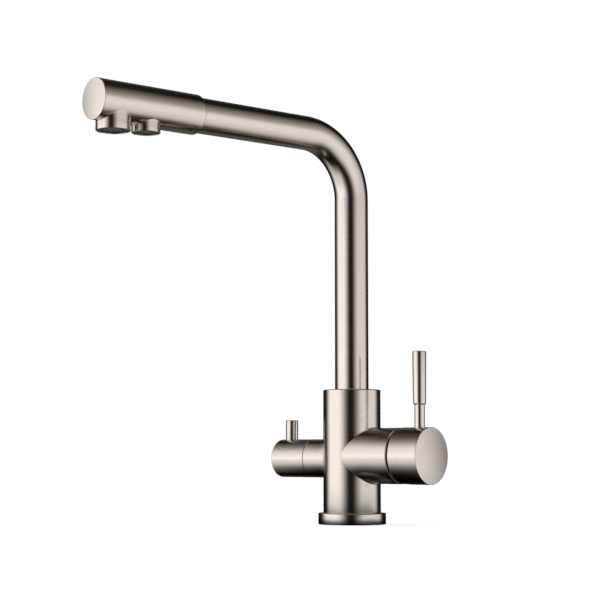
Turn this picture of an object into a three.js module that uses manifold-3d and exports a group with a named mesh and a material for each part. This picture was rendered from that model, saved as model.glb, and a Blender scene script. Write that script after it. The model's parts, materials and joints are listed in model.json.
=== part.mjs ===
/*
 * Three way filtered water tap: a deck mixer with a swivel spout and two outlets.
 *
 * Millimetres, +Z up. The origin is the middle of the foot, where the tap stands on the sink.
 * +X points to the mixer handle, -X to the filter knob and -Y to the person at the sink.
 *
 * Each sub-assembly is drawn in a frame of its own: its local Z runs along the axis that its pieces
 * are turned about, and its local X points up. Distances along an axis are counted from the
 * column's middle line.
 */
import * as THREE from 'three';
import { mergeVertices } from 'three/addons/utils/BufferGeometryUtils.js';
import Module from 'manifold-3d';

const wasm = await Module();
wasm.setup();

// ---------------------------------------------------------------- clearances and common values

const FIT = 0.3; // gap between pieces that touch, slide or turn on each other
const RING_FIT = 0.25; // gap on either side of a ring seal in its groove
const THROUGH = 1; // how far a cutting tool runs past the face it opens
const FLATS = 1.6; // a quarter of the facets on a round of 1 mm radius; grows with the radius's root
const RING_SIDES = 6; // facets around the section of a ring seal

// ---------------------------------------------------------------- driving dimensions

const column = { radius: 24.0, collar: 14.1, edge: 1.0 };
const flange = { overhang: 4.2, band: 6.2, height: 9.4, edge: 1.0 };
const baseSeal = { width: 2.2, height: 1.8 };

const inlet = { thread: 4.9, threadDepth: 14.0, bore: 3.0, circle: 11.2, hotAngle: 48 };
const stud = { radius: 3.4, depth: 16.0, circle: 12.3, angle: 112 };

const mixer = { height: 56.5 };
const cartridge = { radius: 17.3, seat: 15.0, wall: 2.7, neck: 10.5, neckLength: 6.8, frontWall: 3.0 };
const portSeal = { thickness: 1.2, radius: 12.6 };
const ports = { inletY: 8.3, inletDrop: 4.0, outletRise: 8.2, radius: 2.8 };
const peg = { radius: 1.4, length: 3.0, circle: 15.0 };
const portPlate = { thickness: 4.0 };
const fixedDisc = { thickness: 3.0, radius: 13.2 };
const movingDisc = { thickness: 4.0, radius: 11.0 };
const carrier = { thickness: 4.0, rail: 1.4, railWidth: 2.4, railY: 8.0 };
const rotorFlange = { thickness: 4.7, slotWall: 1.4 };
const pivot = { depth: 4.0, pin: 2.0, pinLength: 20.0 };
const spindle = { square: 8.0, tail: 2.0, ball: 2.9, inHandle: 12.5 };
const nut = { length: 7.2, bore: 12.5, notch: 4.0, notchDepth: 2.4 };
const trimRing = { thickness: 2.3, recess: 0.2 };

const handle = { radius: 23.2, length: 27.9, gap: 1.7, skirt: 1.5, cavity: 9.0, edge: 0.6 };
const stubStep = 0.2; // the stub is this much slimmer than the handle
const relief = { depth: 0.5, flat: 5.0, slope: 5.0, halfWidth: 9.0 };
const handleBoss = { radius: 8.5, setBack: 4.5 };
const leverTilt = 25; // degrees that the handle leans out
const lever = { inset: 11.6, stem: 4.25, stemShown: 19.2, shown: 61.9, socket: 12.7 };
const grip = { foot: 5.35, top: 5.7, shoulder: 1.1, round: 1.4, edge: 0.6 };
const handleScrew = { radius: 2.0, length: 8.0 };

const filterDrop = 2.1; // the filter axis lies this much below the mixer axis
const neckReach = 40.3; // the filter neck's end, from the column's middle line
const knob = { radius: 16.15, length: 34.8, skirt: 2.1, cavity: 7.9, edge: 1.3 };
const knobPin = { radius: 5.3, shown: 16.45, inset: 10.4, stud: 3.0, studLength: 9.8, sunk: 0.9, edge: 0.7 };
const knobScrew = { radius: 2.0, length: 6.0, inset: 13.4 };
const headwork = { radius: 10.0, seat: 15.0, waist: 9.0, thread: 10.6, cavity: 7.8 };
const spannerHex = { length: 4.9, inset: 1.0 };
const headworkSeal = { thickness: 2.3, bore: 3.4 };
const headworkRing = { thickness: 1.8, setBack: 4.1 };
const filterDisc = { thickness: 2.5, openFrom: 2.25, openTo: 5.85, openAngle: 66 };
const fork = { thickness: 3.0 };
const filterShaft = { radius: 4.6, splineRadius: 4.4, splineDepth: 0.5, teeth: 16, splineLength: 10.8 };
const shaftRing = { thickness: 1.2, setBack: 6.6 };
const clip = { thickness: 1.0, radius: 6.4, groove: 0.9 };
const link = { bore: 2.0, reach: 3.0 }; // slanted way from the headwork's chamber to the filtered tube

const tube = { radius: 14.1, wall: 1.4, bend: 52.0, bendSteps: 14 };
const arm = { rise: 212.1, reach: 259.3 };
const spoutTurn = -10.5; // degrees that the spout is swung at rest, seen from above
const swivel = { web: 4.2, lap: 12.0, wall: 2.9 };
const glideRing = { height: 2.8, thickness: 1.6, split: 1.0 };
const swivelRing = { thickness: 1.8 };
const stopGroove = { height: 2.6, depth: 1.8 };
const stopScrew = { radius: 2.5, tipRadius: 1.0, sunk: 1.5 };
const hexSocket = { width: 0.5, depth: 0.4 }; // shares of a grub screw's radius and length
const land = 0.8; // wall between two grooves
const filteredTube = { radius: 4.0, wall: 1.4, socket: 8.3, bendSteps: 10 };
const gland = { depth: 2.5, ring: 1.3 };
const outletWall = 1.2; // metal left between the gland, the mixed water's way and the swivel's bore

const head = { step: 1.85, length: 98.3, overlap: 10.7, chamfer: 2.5, wall: 2.75, endWall: 5.3, edge: 0.5 };
const mainOutlet = { radius: 13.3, inset: 17.7, below: 6.55, pocketDepth: 8.0, throat: 9.0 };
const filterOutlet = { radius: 11.2, spacing: 30.0, below: 4.55, pocketDepth: 5.1 };
const nozzleEdge = 0.4;
const nozzleWall = 1.7;
const elbow = { socket: 6.5, leg: 6.0, bore: 2.7, setBack: 15.6, lap: 7.0, rise: 6.0, ring: 1.1 };
const washer = { thickness: 1.1, width: 2.2 };
const aerator = { wall: 1.5, lip: 1.0, lipHeight: 0.6, recess: 0.2 };
const jet = { radius: 0.95, pitch: 3.2, rows: [1, 6, 12] };

// ---------------------------------------------------------------- materials

const finish = (name, color, roughness, metalness) => {
  const material = new THREE.MeshStandardMaterial({ color, roughness, metalness });
  material.name = name;
  return material;
};
const nickel = finish('brushed_nickel', 0xb9aea6, 0.34, 1);
const brass = finish('plain_brass', 0xb8955a, 0.45, 1);
const steel = finish('stainless_steel', 0x9c9c9e, 0.35, 1);
const rubber = finish('black_rubber', 0x1b1b1c, 0.85, 0);
const ceramic = finish('white_ceramic', 0xece9e2, 0.3, 0);
const acetal = finish('white_acetal', 0xe4e2dc, 0.5, 0);
const greyPlastic = finish('grey_plastic', 0x8f9396, 0.55, 0);
const blackPlastic = finish('black_plastic', 0x242527, 0.5, 0);

// ---------------------------------------------------------------- frames

const UP = new THREE.Vector3(0, 0, 1);
const RIGHT = new THREE.Vector3(1, 0, 0);
const LEFT = new THREE.Vector3(-1, 0, 0);
const FRONT = new THREE.Vector3(0, -1, 0);

/** A group whose local Z points along an axis and whose local X points up the second one. */
function frame(origin, along, above) {
  const group = new THREE.Group();
  const side = new THREE.Vector3().crossVectors(along, above);
  const basis = new THREE.Matrix4().makeBasis(above, side, along);
  group.quaternion.setFromRotationMatrix(basis);
  group.position.copy(origin);
  group.updateMatrix();
  return group;
}

/** A copy of a shape moved out of a frame, for cutting a piece that is drawn outside it. */
function outOf(group, geometry) {
  return geometry.clone().applyMatrix4(group.matrix);
}

// ---------------------------------------------------------------- shapes

/** Even number of facets for a round of this radius. */
function facets(radius) {
  return 4 * Math.ceil(FLATS * Math.sqrt(radius));
}

/** A round bar along local Z. */
function bar(radius, from, to) {
  const shape = new THREE.CylinderGeometry(radius, radius, to - from, facets(radius));
  return shape.rotateX(Math.PI / 2).translate(0, 0, (from + to) / 2);
}

/** A turned piece: its outline is a list of [radius, z], closed on itself or on the axis. */
function turned(outline) {
  const points = outline.map(([r, z]) => new THREE.Vector2(r, z));
  const widest = Math.max(...outline.map(([r]) => r));
  return new THREE.LatheGeometry(points, facets(widest)).rotateX(Math.PI / 2);
}

/** A ring of square section. */
function ring(inner, outer, from, to) {
  return turned([[inner, from], [outer, from], [outer, to], [inner, to], [inner, from]]);
}

/** A ring of round section, such as a ring seal. */
function roundRing(middle, thickness, at) {
  return new THREE.TorusGeometry(middle, thickness / 2, RING_SIDES, facets(middle)).translate(0, 0, at);
}

/** A box across the axis: x and y are its middle. */
function block(sizeX, sizeY, from, to, x = 0, y = 0) {
  const shape = new THREE.BoxGeometry(sizeX, sizeY, to - from);
  return shape.translate(x, y, (from + to) / 2);
}

/** A flat outline of [x, y] points, drawn up along local Z. */
function prism(points, from, to) {
  const shape = new THREE.Shape(points.map(([x, y]) => new THREE.Vector2(x, y)));
  const extruded = new THREE.ExtrudeGeometry(shape, { depth: to - from, bevelEnabled: false });
  return extruded.translate(0, 0, from);
}

/** A hexagonal bar, measured to its corners. */
function hexagon(reach, from, to) {
  return prism([0, 60, 120, 180, 240, 300].map((angle) => polar(reach, angle)), from, to);
}

/** Turns a shape drawn along local Z so that it points down across the axis at a distance. */
function downward(geometry, at) {
  return geometry.rotateY(-Math.PI / 2).translate(0, 0, at);
}

/** Turns a shape drawn along local Z so that it points up across the axis at a distance. */
function upward(geometry, at) {
  return geometry.rotateY(Math.PI / 2).translate(0, 0, at);
}

/** Points of a quarter round in a turned outline, from one angle to another in degrees. */
function corner(r, z, radius, from, to, steps = 3) {
  const points = [];
  for (let step = 0; step <= steps; step += 1) {
    const angle = THREE.MathUtils.degToRad(from + ((to - from) * step) / steps);
    points.push([r + radius * Math.cos(angle), z + radius * Math.sin(angle)]);
  }
  return points;
}

/** Point on a circle, from its angle in degrees. */
function polar(radius, degrees) {
  const angle = THREE.MathUtils.degToRad(degrees);
  return [radius * Math.cos(angle), radius * Math.sin(angle)];
}

/** A straight bore between two points. */
function bore(radius, from, to) {
  const start = new THREE.Vector3(...from);
  const along = new THREE.Vector3(...to).sub(start);
  const shape = bar(radius, 0, along.length());
  const turn = new THREE.Quaternion().setFromUnitVectors(UP, along.clone().normalize());
  return shape.applyQuaternion(turn).translate(start.x, start.y, start.z);
}

// ---------------------------------------------------------------- joining and cutting

/** The closed solid of a geometry, with its faces pointing outward. */
function solidOf(geometry) {
  const bare = geometry.clone();
  bare.deleteAttribute('normal');
  bare.deleteAttribute('uv');
  const welded = mergeVertices(bare, 1e-4);
  const points = welded.attributes.position.array;
  const corners = welded.index.array;
  const triangles = [];
  let volume = 0;
  for (let i = 0; i < corners.length; i += 3) {
    const [a, b, c] = [corners[i], corners[i + 1], corners[i + 2]];
    if (a === b || b === c || c === a) continue;
    triangles.push(a, b, c);
    const [p, q, r] = [a, b, c].map((n) => new THREE.Vector3().fromArray(points, 3 * n));
    volume += p.dot(q.cross(r));
  }
  if (volume < 0) triangles.reverse();
  return new wasm.Manifold(new wasm.Mesh({
    numProp: 3,
    vertProperties: Float32Array.from(points),
    triVerts: Uint32Array.from(triangles),
  }));
}

/** The geometry of a solid. */
function geometryOf(solid) {
  const mesh = solid.getMesh();
  const geometry = new THREE.BufferGeometry();
  geometry.setAttribute('position', new THREE.BufferAttribute(mesh.vertProperties, 3));
  geometry.setIndex(new THREE.BufferAttribute(mesh.triVerts, 1));
  return geometry;
}

function cut(base, ...tools) {
  const rest = tools.reduce((solid, tool) => solid.subtract(solidOf(tool)), solidOf(base));
  return geometryOf(rest);
}

function join(base, ...others) {
  const whole = others.reduce((solid, other) => solid.add(solidOf(other)), solidOf(base));
  return geometryOf(whole);
}

/** A named piece. */
function piece(name, material, geometry) {
  const closed = geometryOf(solidOf(geometry));
  closed.computeVertexNormals();
  const mesh = new THREE.Mesh(closed, material);
  mesh.name = name;
  return mesh;
}

// ---------------------------------------------------------------- values worked out from the sizes

const flangeRadius = column.radius + flange.overhang;
const flangeBore = flangeRadius - flange.band;
const footRadius = flangeBore - FIT;
const baseSealRadius = flangeRadius - flange.band / 2;

// Places along the mixer axis, stacked from the cartridge's seat outward.
const portSealFrom = cartridge.seat + FIT;
const portPlateFrom = portSealFrom + portSeal.thickness + FIT;
const fixedDiscFrom = portPlateFrom + portPlate.thickness + FIT;
const movingDiscFrom = fixedDiscFrom + fixedDisc.thickness + FIT;
const carrierFrom = movingDiscFrom + movingDisc.thickness + FIT;
const rotorFrom = carrierFrom + carrier.thickness + FIT;
const housingInside = rotorFrom + rotorFlange.thickness + FIT;
const housingEnd = housingInside + cartridge.frontWall;
const rotorEnd = rotorFrom + rotorFlange.thickness + cartridge.neckLength;
const pivotAt = rotorFrom + pivot.depth;
const nutFrom = housingEnd + FIT;
const trimRingFrom = nutFrom + nut.length + FIT;
const stubEnd = trimRingFrom + trimRing.thickness + trimRing.recess;
const handleStart = stubEnd + handle.gap;
const handleEnd = handleStart + handle.length;
const handleFloor = handleStart + handle.cavity;
const spindleEnd = handleStart + spindle.inHandle;
const handleScrewAt = handleFloor + handleScrew.radius;
const leverAt = handleEnd - lever.inset;

const stubRadius = handle.radius - stubStep;
const cartridgeBore = cartridge.radius + FIT;
const housingBore = cartridge.radius - cartridge.wall;
const ballAt = carrierFrom + FIT + spindle.ball;
const discTravel = (pivotAt - ballAt) * Math.sin(THREE.MathUtils.degToRad(leverTilt));
const discDrop = discTravel / 2; // the moving disc rests this much below its middle place

/** Places of the two inlet ports and the outlet port, as [x, y] across the mixer axis. */
const portPlaces = [
  [-ports.inletDrop, ports.inletY],
  [-ports.inletDrop, -ports.inletY],
  [ports.outletRise, 0],
];

// Places along the filter axis, stacked from the headwork's seat outward.
const headworkSealFrom = headwork.seat + FIT;
const headworkFrom = headworkSealFrom + FIT;
const filterDiscFrom = headworkSealFrom + headworkSeal.thickness + FIT;
const filterMovingFrom = filterDiscFrom + filterDisc.thickness + FIT;
const forkFrom = filterMovingFrom + filterDisc.thickness + FIT;
const shaftFrom = forkFrom + fork.thickness;
const knobStart = neckReach + FIT;
const knobEnd = knobStart + knob.length;
const hexEnd = knobStart + spannerHex.length;
const clipFrom = hexEnd + FIT;
const splineFrom = clipFrom + clip.thickness + FIT;
const splineEnd = splineFrom + filterShaft.splineLength;
const knobPinAt = knobEnd - knobPin.inset;
const knobScrewAt = knobStart + knobScrew.inset;

const headworkBore = headwork.radius + FIT;
const knobCavity = knob.radius - knob.skirt;
const knobPinSeat = knob.radius - knobPin.sunk;
const knobPinFoot = knobPinSeat - knobPin.studLength;

// Places up the swivel, stacked from its floor.
const swivelFloor = mixer.height + cartridgeBore + swivel.web;
const glideGroove = glideRing.height + 2 * RING_FIT;
const ringGroove = swivelRing.thickness + 2 * RING_FIT;
const spigotFrom = swivelFloor + FIT;
const lowerGlideFrom = spigotFrom + land;
const stopGrooveFrom = lowerGlideFrom + glideGroove + land;
const lowerRingFrom = stopGrooveFrom + stopGroove.height + land;
const upperRingFrom = lowerRingFrom + ringGroove + land;
const upperGlideFrom = upperRingFrom + ringGroove + land;
const spigotShoulder = upperGlideFrom + glideGroove + land;
const tubeFoot = spigotShoulder + FIT;
const columnTop = tubeFoot + column.collar;
const stopScrewAt = stopGrooveFrom + stopGroove.height / 2;
const armHeight = columnTop + arm.rise;
const filteredFloor = swivelFloor - filteredTube.socket;

const swivelBore = tube.radius + FIT;
const tubeBore = tube.radius - tube.wall;
const spigotBore = tubeBore - FIT - swivel.wall;
const glandBore = filteredTube.radius + FIT + gland.ring;
const outletX = (glandBore + swivelBore) / 2;
const outletBore = (swivelBore - glandBore) / 2 - outletWall;

// Places along the arm, counted back from its end.
const headRadius = tube.radius + head.step;
const headStart = arm.reach - head.length;
const tubeEnd = headStart + head.overlap;
const mainOutletAt = arm.reach - mainOutlet.inset;
const filterOutletAt = mainOutletAt - filterOutlet.spacing;
const elbowFrom = filterOutletAt - elbow.setBack;
const filteredEnd = elbowFrom + elbow.lap - FIT;

/** Radius, place along the arm, depth of the rim and of the pocket's roof below the arm's axis. */
const outletSizes = (outlet, at) => ({
  radius: outlet.radius,
  at,
  drop: headRadius + outlet.below,
  pocket: headRadius + outlet.below - outlet.pocketDepth,
});
const mainNozzle = outletSizes(mainOutlet, mainOutletAt);
const filterNozzle = outletSizes(filterOutlet, filterOutletAt);
const elbowRingAt = (headRadius - head.wall + filterNozzle.pocket) / 2; // in the head's wall
const elbowRingMiddle = elbow.leg + 2 * FIT - RING_FIT - elbow.ring / 2;

// ---------------------------------------------------------------- frames of the sub-assemblies

const filterHeight = mixer.height - filterDrop;
const mixerFrame = frame(new THREE.Vector3(0, 0, mixer.height), RIGHT, UP);
const filterFrame = frame(new THREE.Vector3(0, 0, filterHeight), LEFT, UP);
const headFrame = frame(new THREE.Vector3(0, 0, armHeight), FRONT, UP);

// ---------------------------------------------------------------- body and base

function bodyColumn() {
  const { radius, edge } = column;
  const shell = turned([
    [0, 0],
    [footRadius, 0],
    [footRadius, flange.height + FIT],
    [radius, flange.height + FIT],
    ...corner(radius - edge, columnTop - edge, edge, 0, 90),
    [0, columnTop],
  ]);
  const mixerStub = turned([
    [0, 0],
    [stubRadius, 0],
    ...corner(stubRadius - handle.edge, stubEnd - handle.edge, handle.edge, 0, 90, 2),
    [0, stubEnd],
  ]);
  const filterNeck = bar(knob.radius, 0, neckReach);
  const whole = join(shell, outOf(mixerFrame, mixerStub), outOf(filterFrame, filterNeck));
  return cut(whole, ...swivelBores(), ...mixerBores(), ...filterBores(), ...studHoles());
}

/** The spout's bore, the gland for the filtered tube and the hole for the stop screw. */
function swivelBores() {
  const screwHole = bar(stopScrew.radius + FIT, 0, column.radius + THROUGH);
  return [
    bar(swivelBore, swivelFloor, columnTop + THROUGH),
    bar(glandBore, swivelFloor - gland.depth, swivelFloor + THROUGH),
    bar(filteredTube.radius + FIT, filteredFloor, swivelFloor),
    screwHole.rotateX(-Math.PI / 2).translate(0, 0, stopScrewAt),
  ];
}

/** The cartridge's seat and the ways for hot, cold and mixed water. */
function mixerBores() {
  const inletZ = mixer.height - ports.inletDrop;
  const outletZ = mixer.height + ports.outletRise;
  const wayOut = [
    bore(outletBore, [outletX, 0, swivelFloor + THROUGH], [outletX, 0, outletZ]),
    bore(ports.radius, [outletX, 0, outletZ], [cartridge.seat + THROUGH, 0, outletZ]),
  ];
  const waysIn = [-1, 1].flatMap((side) => {
    const [x, y] = polar(inlet.circle, side * inlet.hotAngle);
    const portY = side * ports.inletY;
    return [
      ...hoseInlet(x, y, inletZ),
      bore(ports.radius, [x, portY, inletZ], [cartridge.seat + THROUGH, portY, inletZ]),
    ];
  });
  const pegHoles = [-1, 1].map((side) => {
    const hole = bar(peg.radius + FIT, portPlateFrom - peg.length - FIT, cartridge.seat + THROUGH);
    return outOf(mixerFrame, hole.translate(0, side * peg.circle, 0));
  });
  const seat = outOf(mixerFrame, bar(cartridgeBore, cartridge.seat, stubEnd + THROUGH));
  return [seat, ...wayOut, ...waysIn, ...pegHoles];
}

/** The headwork's seat, the filtered inlet and the slanted way up to the filtered tube. */
function filterBores() {
  const x = -inlet.circle;
  const insideSeat = -headwork.seat - THROUGH;
  const chamber = [-headwork.seat - link.reach, 0, filterHeight + headwork.waist];
  return [
    outOf(filterFrame, bar(headworkBore, headwork.seat, neckReach + THROUGH)),
    ...hoseInlet(x, 0, filterHeight),
    bore(inlet.bore, [x, 0, filterHeight], [insideSeat, 0, filterHeight]),
    bore(link.bore, [0, 0, filteredFloor + link.bore / 2], chamber),
  ];
}

/** A threaded hose inlet in the foot and the bore above it. */
function hoseInlet(x, y, top) {
  return [
    bore(inlet.thread, [x, y, -THROUGH], [x, y, inlet.threadDepth]),
    bore(inlet.bore, [x, y, 0], [x, y, top]),
  ];
}

function studHoles() {
  return [-1, 1].map((side) => {
    const [x, y] = polar(stud.circle, side * stud.angle);
    return bore(stud.radius, [x, y, -THROUGH], [x, y, stud.depth]);
  });
}

function baseFlange() {
  const { height, edge } = flange;
  const whole = turned([
    [flangeBore, 0],
    [flangeRadius - edge / 2, 0],
    [flangeRadius, edge / 2],
    ...corner(flangeRadius - edge, height - edge, edge, 0, 90),
    [flangeBore, height],
    [flangeBore, 0],
  ]);
  const halfGroove = baseSeal.width / 2 + RING_FIT;
  const grooveTop = baseSeal.height + RING_FIT;
  return cut(whole, ring(baseSealRadius - halfGroove, baseSealRadius + halfGroove, -THROUGH, grooveTop));
}

function baseSealRing() {
  const half = baseSeal.width / 2;
  return ring(baseSealRadius - half, baseSealRadius + half, 0, baseSeal.height);
}

/** Grub screw that points at the column's middle, with a tip that runs in the spigot's groove. */
function spoutStopScrew() {
  const groove = tube.radius - stopGroove.depth;
  const outer = column.radius - stopScrew.sunk;
  const inner = swivelBore + FIT;
  const shape = turned([
    [0, groove + FIT],
    [stopScrew.tipRadius, groove + FIT],
    [stopScrew.tipRadius, inner],
    [stopScrew.radius, inner],
    [stopScrew.radius, outer],
    [0, outer],
  ]);
  const socketDepth = (outer - inner) * hexSocket.depth;
  const socket = hexagon(stopScrew.radius * hexSocket.width, outer - socketDepth, outer + THROUGH);
  return cut(shape, socket).rotateX(-Math.PI / 2).translate(0, 0, stopScrewAt);
}

// ---------------------------------------------------------------- mixer cartridge

function portTools(radius, from, to) {
  return portPlaces.map(([x, y]) => bar(radius, from - THROUGH, to + THROUGH).translate(x, y, 0));
}

function cartridgeSeal() {
  const to = portSealFrom + portSeal.thickness;
  return cut(bar(portSeal.radius, portSealFrom, to), ...portTools(ports.radius - FIT, portSealFrom, to));
}

function cartridgeBase() {
  const to = portPlateFrom + portPlate.thickness;
  const pegs = [-1, 1].map((side) => (
    bar(peg.radius, portPlateFrom - peg.length, to - THROUGH).translate(0, side * peg.circle, 0)
  ));
  const plate = join(bar(cartridge.radius, portPlateFrom, to), ...pegs);
  return cut(plate, ...portTools(ports.radius, portPlateFrom, to));
}

function fixedDiscShape() {
  const to = fixedDiscFrom + fixedDisc.thickness;
  return cut(bar(fixedDisc.radius, fixedDiscFrom, to), ...portTools(ports.radius, fixedDiscFrom, to));
}

function movingDiscShape() {
  const to = movingDiscFrom + movingDisc.thickness;
  const disc = bar(movingDisc.radius, movingDiscFrom, to);
  const roof = to - movingDisc.thickness / 2;
  const hollow = block(movingDisc.radius, movingDisc.radius, movingDiscFrom - THROUGH, roof);
  return cut(disc, hollow).translate(-discDrop, 0, 0);
}

/** Plate on the moving disc, with a pocket for the spindle's ball and two rails for the rotor. */
function discCarrier() {
  const to = carrierFrom + carrier.thickness;
  const plate = bar(movingDisc.radius, carrierFrom, to).translate(-discDrop, 0, 0);
  const rails = [-1, 1].map((side) => (
    block(movingDisc.radius, carrier.railWidth, to - THROUGH, to + carrier.rail, 0, side * carrier.railY)
  ));
  const pocket = bar(spindle.ball + FIT, carrierFrom - THROUGH, to + THROUGH);
  return cut(join(plate, ...rails), pocket);
}

function cartridgeHousing() {
  return turned([
    [housingBore, fixedDiscFrom],
    [cartridge.radius, fixedDiscFrom],
    [cartridge.radius, housingEnd],
    [cartridge.neck + FIT, housingEnd],
    [cartridge.neck + FIT, housingInside],
    [housingBore, housingInside],
    [housingBore, fixedDiscFrom],
  ]);
}

/** A round bar across the mixer axis, through the spindle's pivot. */
function pivotBar(radius, half) {
  return bar(radius, -half, half).rotateX(Math.PI / 2).translate(0, 0, pivotAt);
}

/** Turns with the handle: slot for the spindle, cross hole for its pin, grooves for the rails. */
function cartridgeRotor() {
  const flangeEnd = rotorFrom + rotorFlange.thickness;
  const whole = turned([
    [0, rotorFrom],
    [housingBore - FIT, rotorFrom],
    [housingBore - FIT, flangeEnd],
    [cartridge.neck, flangeEnd],
    [cartridge.neck, rotorEnd],
    [0, rotorEnd],
  ]);
  const slotLength = 2 * (cartridge.neck - rotorFlange.slotWall);
  const slot = block(slotLength, spindle.square + 2 * FIT, rotorFrom - THROUGH, rotorEnd + THROUGH);
  const railTravel = movingDisc.radius + 2 * (discTravel + FIT);
  const grooves = [-1, 1].map((side) => block(
    railTravel,
    carrier.railWidth + 2 * FIT,
    rotorFrom - THROUGH,
    rotorFrom + carrier.rail,
    0,
    side * carrier.railY,
  ));
  return cut(whole, slot, pivotBar(pivot.pin + FIT, housingBore), ...grooves);
}

/** Square spindle on its pin: a ball below drives the carrier, the square end drives the handle. */
function leverSpindle() {
  const half = spindle.square / 2;
  const sides = facets(spindle.ball);
  const ball = new THREE.SphereGeometry(spindle.ball, sides, sides / 2).translate(0, 0, ballAt);
  const tail = bar(spindle.tail, ballAt, pivotAt);
  const square = block(spindle.square, spindle.square, pivotAt, spindleEnd);
  const whole = join(square, pivotBar(half, half), tail, ball);
  return cut(whole, pivotBar(pivot.pin + FIT, spindle.square));
}

function cartridgeNut() {
  const to = nutFrom + nut.length;
  const across = 2 * (cartridge.radius + THROUGH);
  const notches = [45, 135].map((angle) => {
    const slot = block(across, nut.notch, to - nut.notchDepth, to + THROUGH);
    return slot.rotateZ(THREE.MathUtils.degToRad(angle));
  });
  return cut(ring(nut.bore, cartridge.radius, nutFrom, to), ...notches);
}

function trimRingShape() {
  return ring(nut.bore + FIT, cartridge.radius, trimRingFrom, trimRingFrom + trimRing.thickness);
}

// ---------------------------------------------------------------- mixer handle

function mixerHandle() {
  const { radius, skirt, edge } = handle;
  const bossStart = handleStart + handleBoss.setBack;
  const shell = turned([
    [radius - skirt, handleStart],
    ...corner(radius - edge, handleStart + edge, edge, -90, 0, 2),
    ...corner(radius - edge / 2, handleEnd - edge / 2, edge / 2, 0, 90, 2),
    [0, handleEnd],
    [0, bossStart],
    [handleBoss.radius, bossStart],
    [handleBoss.radius, handleFloor],
    [radius - skirt, handleFloor],
    [radius - skirt, handleStart],
  ]);
  const socketSize = spindle.square + 2 * FIT;
  const socket = block(socketSize, socketSize, handleStart, spindleEnd + FIT);
  const leverHole = upward(bar(lever.stem + FIT, radius - lever.socket - FIT, radius + THROUGH), leverAt);
  const screwHole = downward(bar(handleScrew.radius + FIT, 0, radius + THROUGH), handleScrewAt);
  return cut(shell, socket, leverHole, screwHole, tiltRelief());
}

/** Shallow flat under the handle's rim that clears the stub as the handle leans out. */
function tiltRelief() {
  const { depth, flat, slope, halfWidth } = relief;
  const outside = handle.radius + THROUGH;
  const wedge = prism([
    [handleStart - THROUGH, handle.radius - depth],
    [handleStart + flat, handle.radius - depth],
    [handleStart + flat + slope, handle.radius],
    [handleStart + flat + slope, outside],
    [handleStart - THROUGH, outside],
  ], -halfWidth, halfWidth);
  return wedge.rotateX(Math.PI / 2).rotateY(-Math.PI / 2);
}

/** Pin lever: a slim stem in the handle and a thicker grip that widens toward its top. */
function mixerLever() {
  const { stem, stemShown, shown, socket } = lever;
  const shoulder = handle.radius + stemShown;
  const gripStart = shoulder + grip.round;
  const top = handle.radius + shown;
  const shape = turned([
    [0, handle.radius - socket],
    [stem, handle.radius - socket],
    [stem, shoulder - grip.shoulder],
    ...corner(grip.foot - grip.round, gripStart, grip.round, -45, 0, 2),
    ...corner(grip.top - grip.edge, top - grip.edge, grip.edge, 0, 90),
    [0, top],
  ]);
  return upward(shape, leverAt);
}

/** A hex socket grub screw that points up at the spindle it clamps. */
function grubScrew(size, tip, at) {
  const head = tip + size.length;
  const socketFloor = head - size.length * hexSocket.depth;
  const socket = hexagon(size.radius * hexSocket.width, socketFloor, head + THROUGH);
  return downward(cut(bar(size.radius, tip, head), socket), at);
}

// ---------------------------------------------------------------- filter headwork

/** Threaded bonnet: disc cavity with two side windows, spindle bore, hexagon for the spanner. */
function headworkBody() {
  const cavityEnd = shaftFrom + FIT;
  const hexCorner = knobCavity - FIT - spannerHex.inset;
  const shaftBore = filterShaft.radius + FIT;
  const waistEnd = knobStart - headwork.thread;
  const ringAt = knobStart - headworkRing.setBack;
  const outside = turned([
    [0, headworkFrom],
    [headwork.waist, headworkFrom],
    [headwork.waist, waistEnd],
    [headwork.radius, waistEnd],
    [headwork.radius, knobStart],
    [0, knobStart],
  ]);
  const half = headworkRing.thickness / 2 + RING_FIT;
  const ringFloor = headworkBore - headworkRing.thickness - 2 * RING_FIT;
  const window = block(
    2 * headworkBore,
    headwork.cavity,
    filterMovingFrom,
    filterMovingFrom + filterDisc.thickness + fork.thickness,
  );
  return cut(
    join(outside, hexagon(hexCorner, knobStart, hexEnd)),
    bar(headwork.cavity, headworkFrom - THROUGH, cavityEnd),
    bar(shaftBore, headworkFrom, hexEnd + THROUGH),
    ring(ringFloor, headworkBore + THROUGH, ringAt - half, ringAt + half),
    window,
  );
}

function headworkSealShape() {
  const to = headworkSealFrom + headworkSeal.thickness;
  return ring(headworkSeal.bore, headwork.cavity - FIT, headworkSealFrom, to);
}

/** One ceramic disc of the pair, with two openings on opposite sides. */
function quarterDisc(from) {
  const { thickness, openFrom, openTo, openAngle } = filterDisc;
  const to = from + thickness;
  const openings = [0, 180].map((middle) => {
    const start = middle - openAngle / 2;
    const arc = [0, 1 / 3, 2 / 3, 1].map((share) => polar(openTo, start + share * openAngle));
    const back = [1, 1 / 2, 0].map((share) => polar(openFrom, start + share * openAngle));
    return prism([...arc, ...back], from - THROUGH, to + THROUGH);
  });
  return cut(bar(headwork.cavity - FIT, from, to), ...openings);
}

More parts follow.
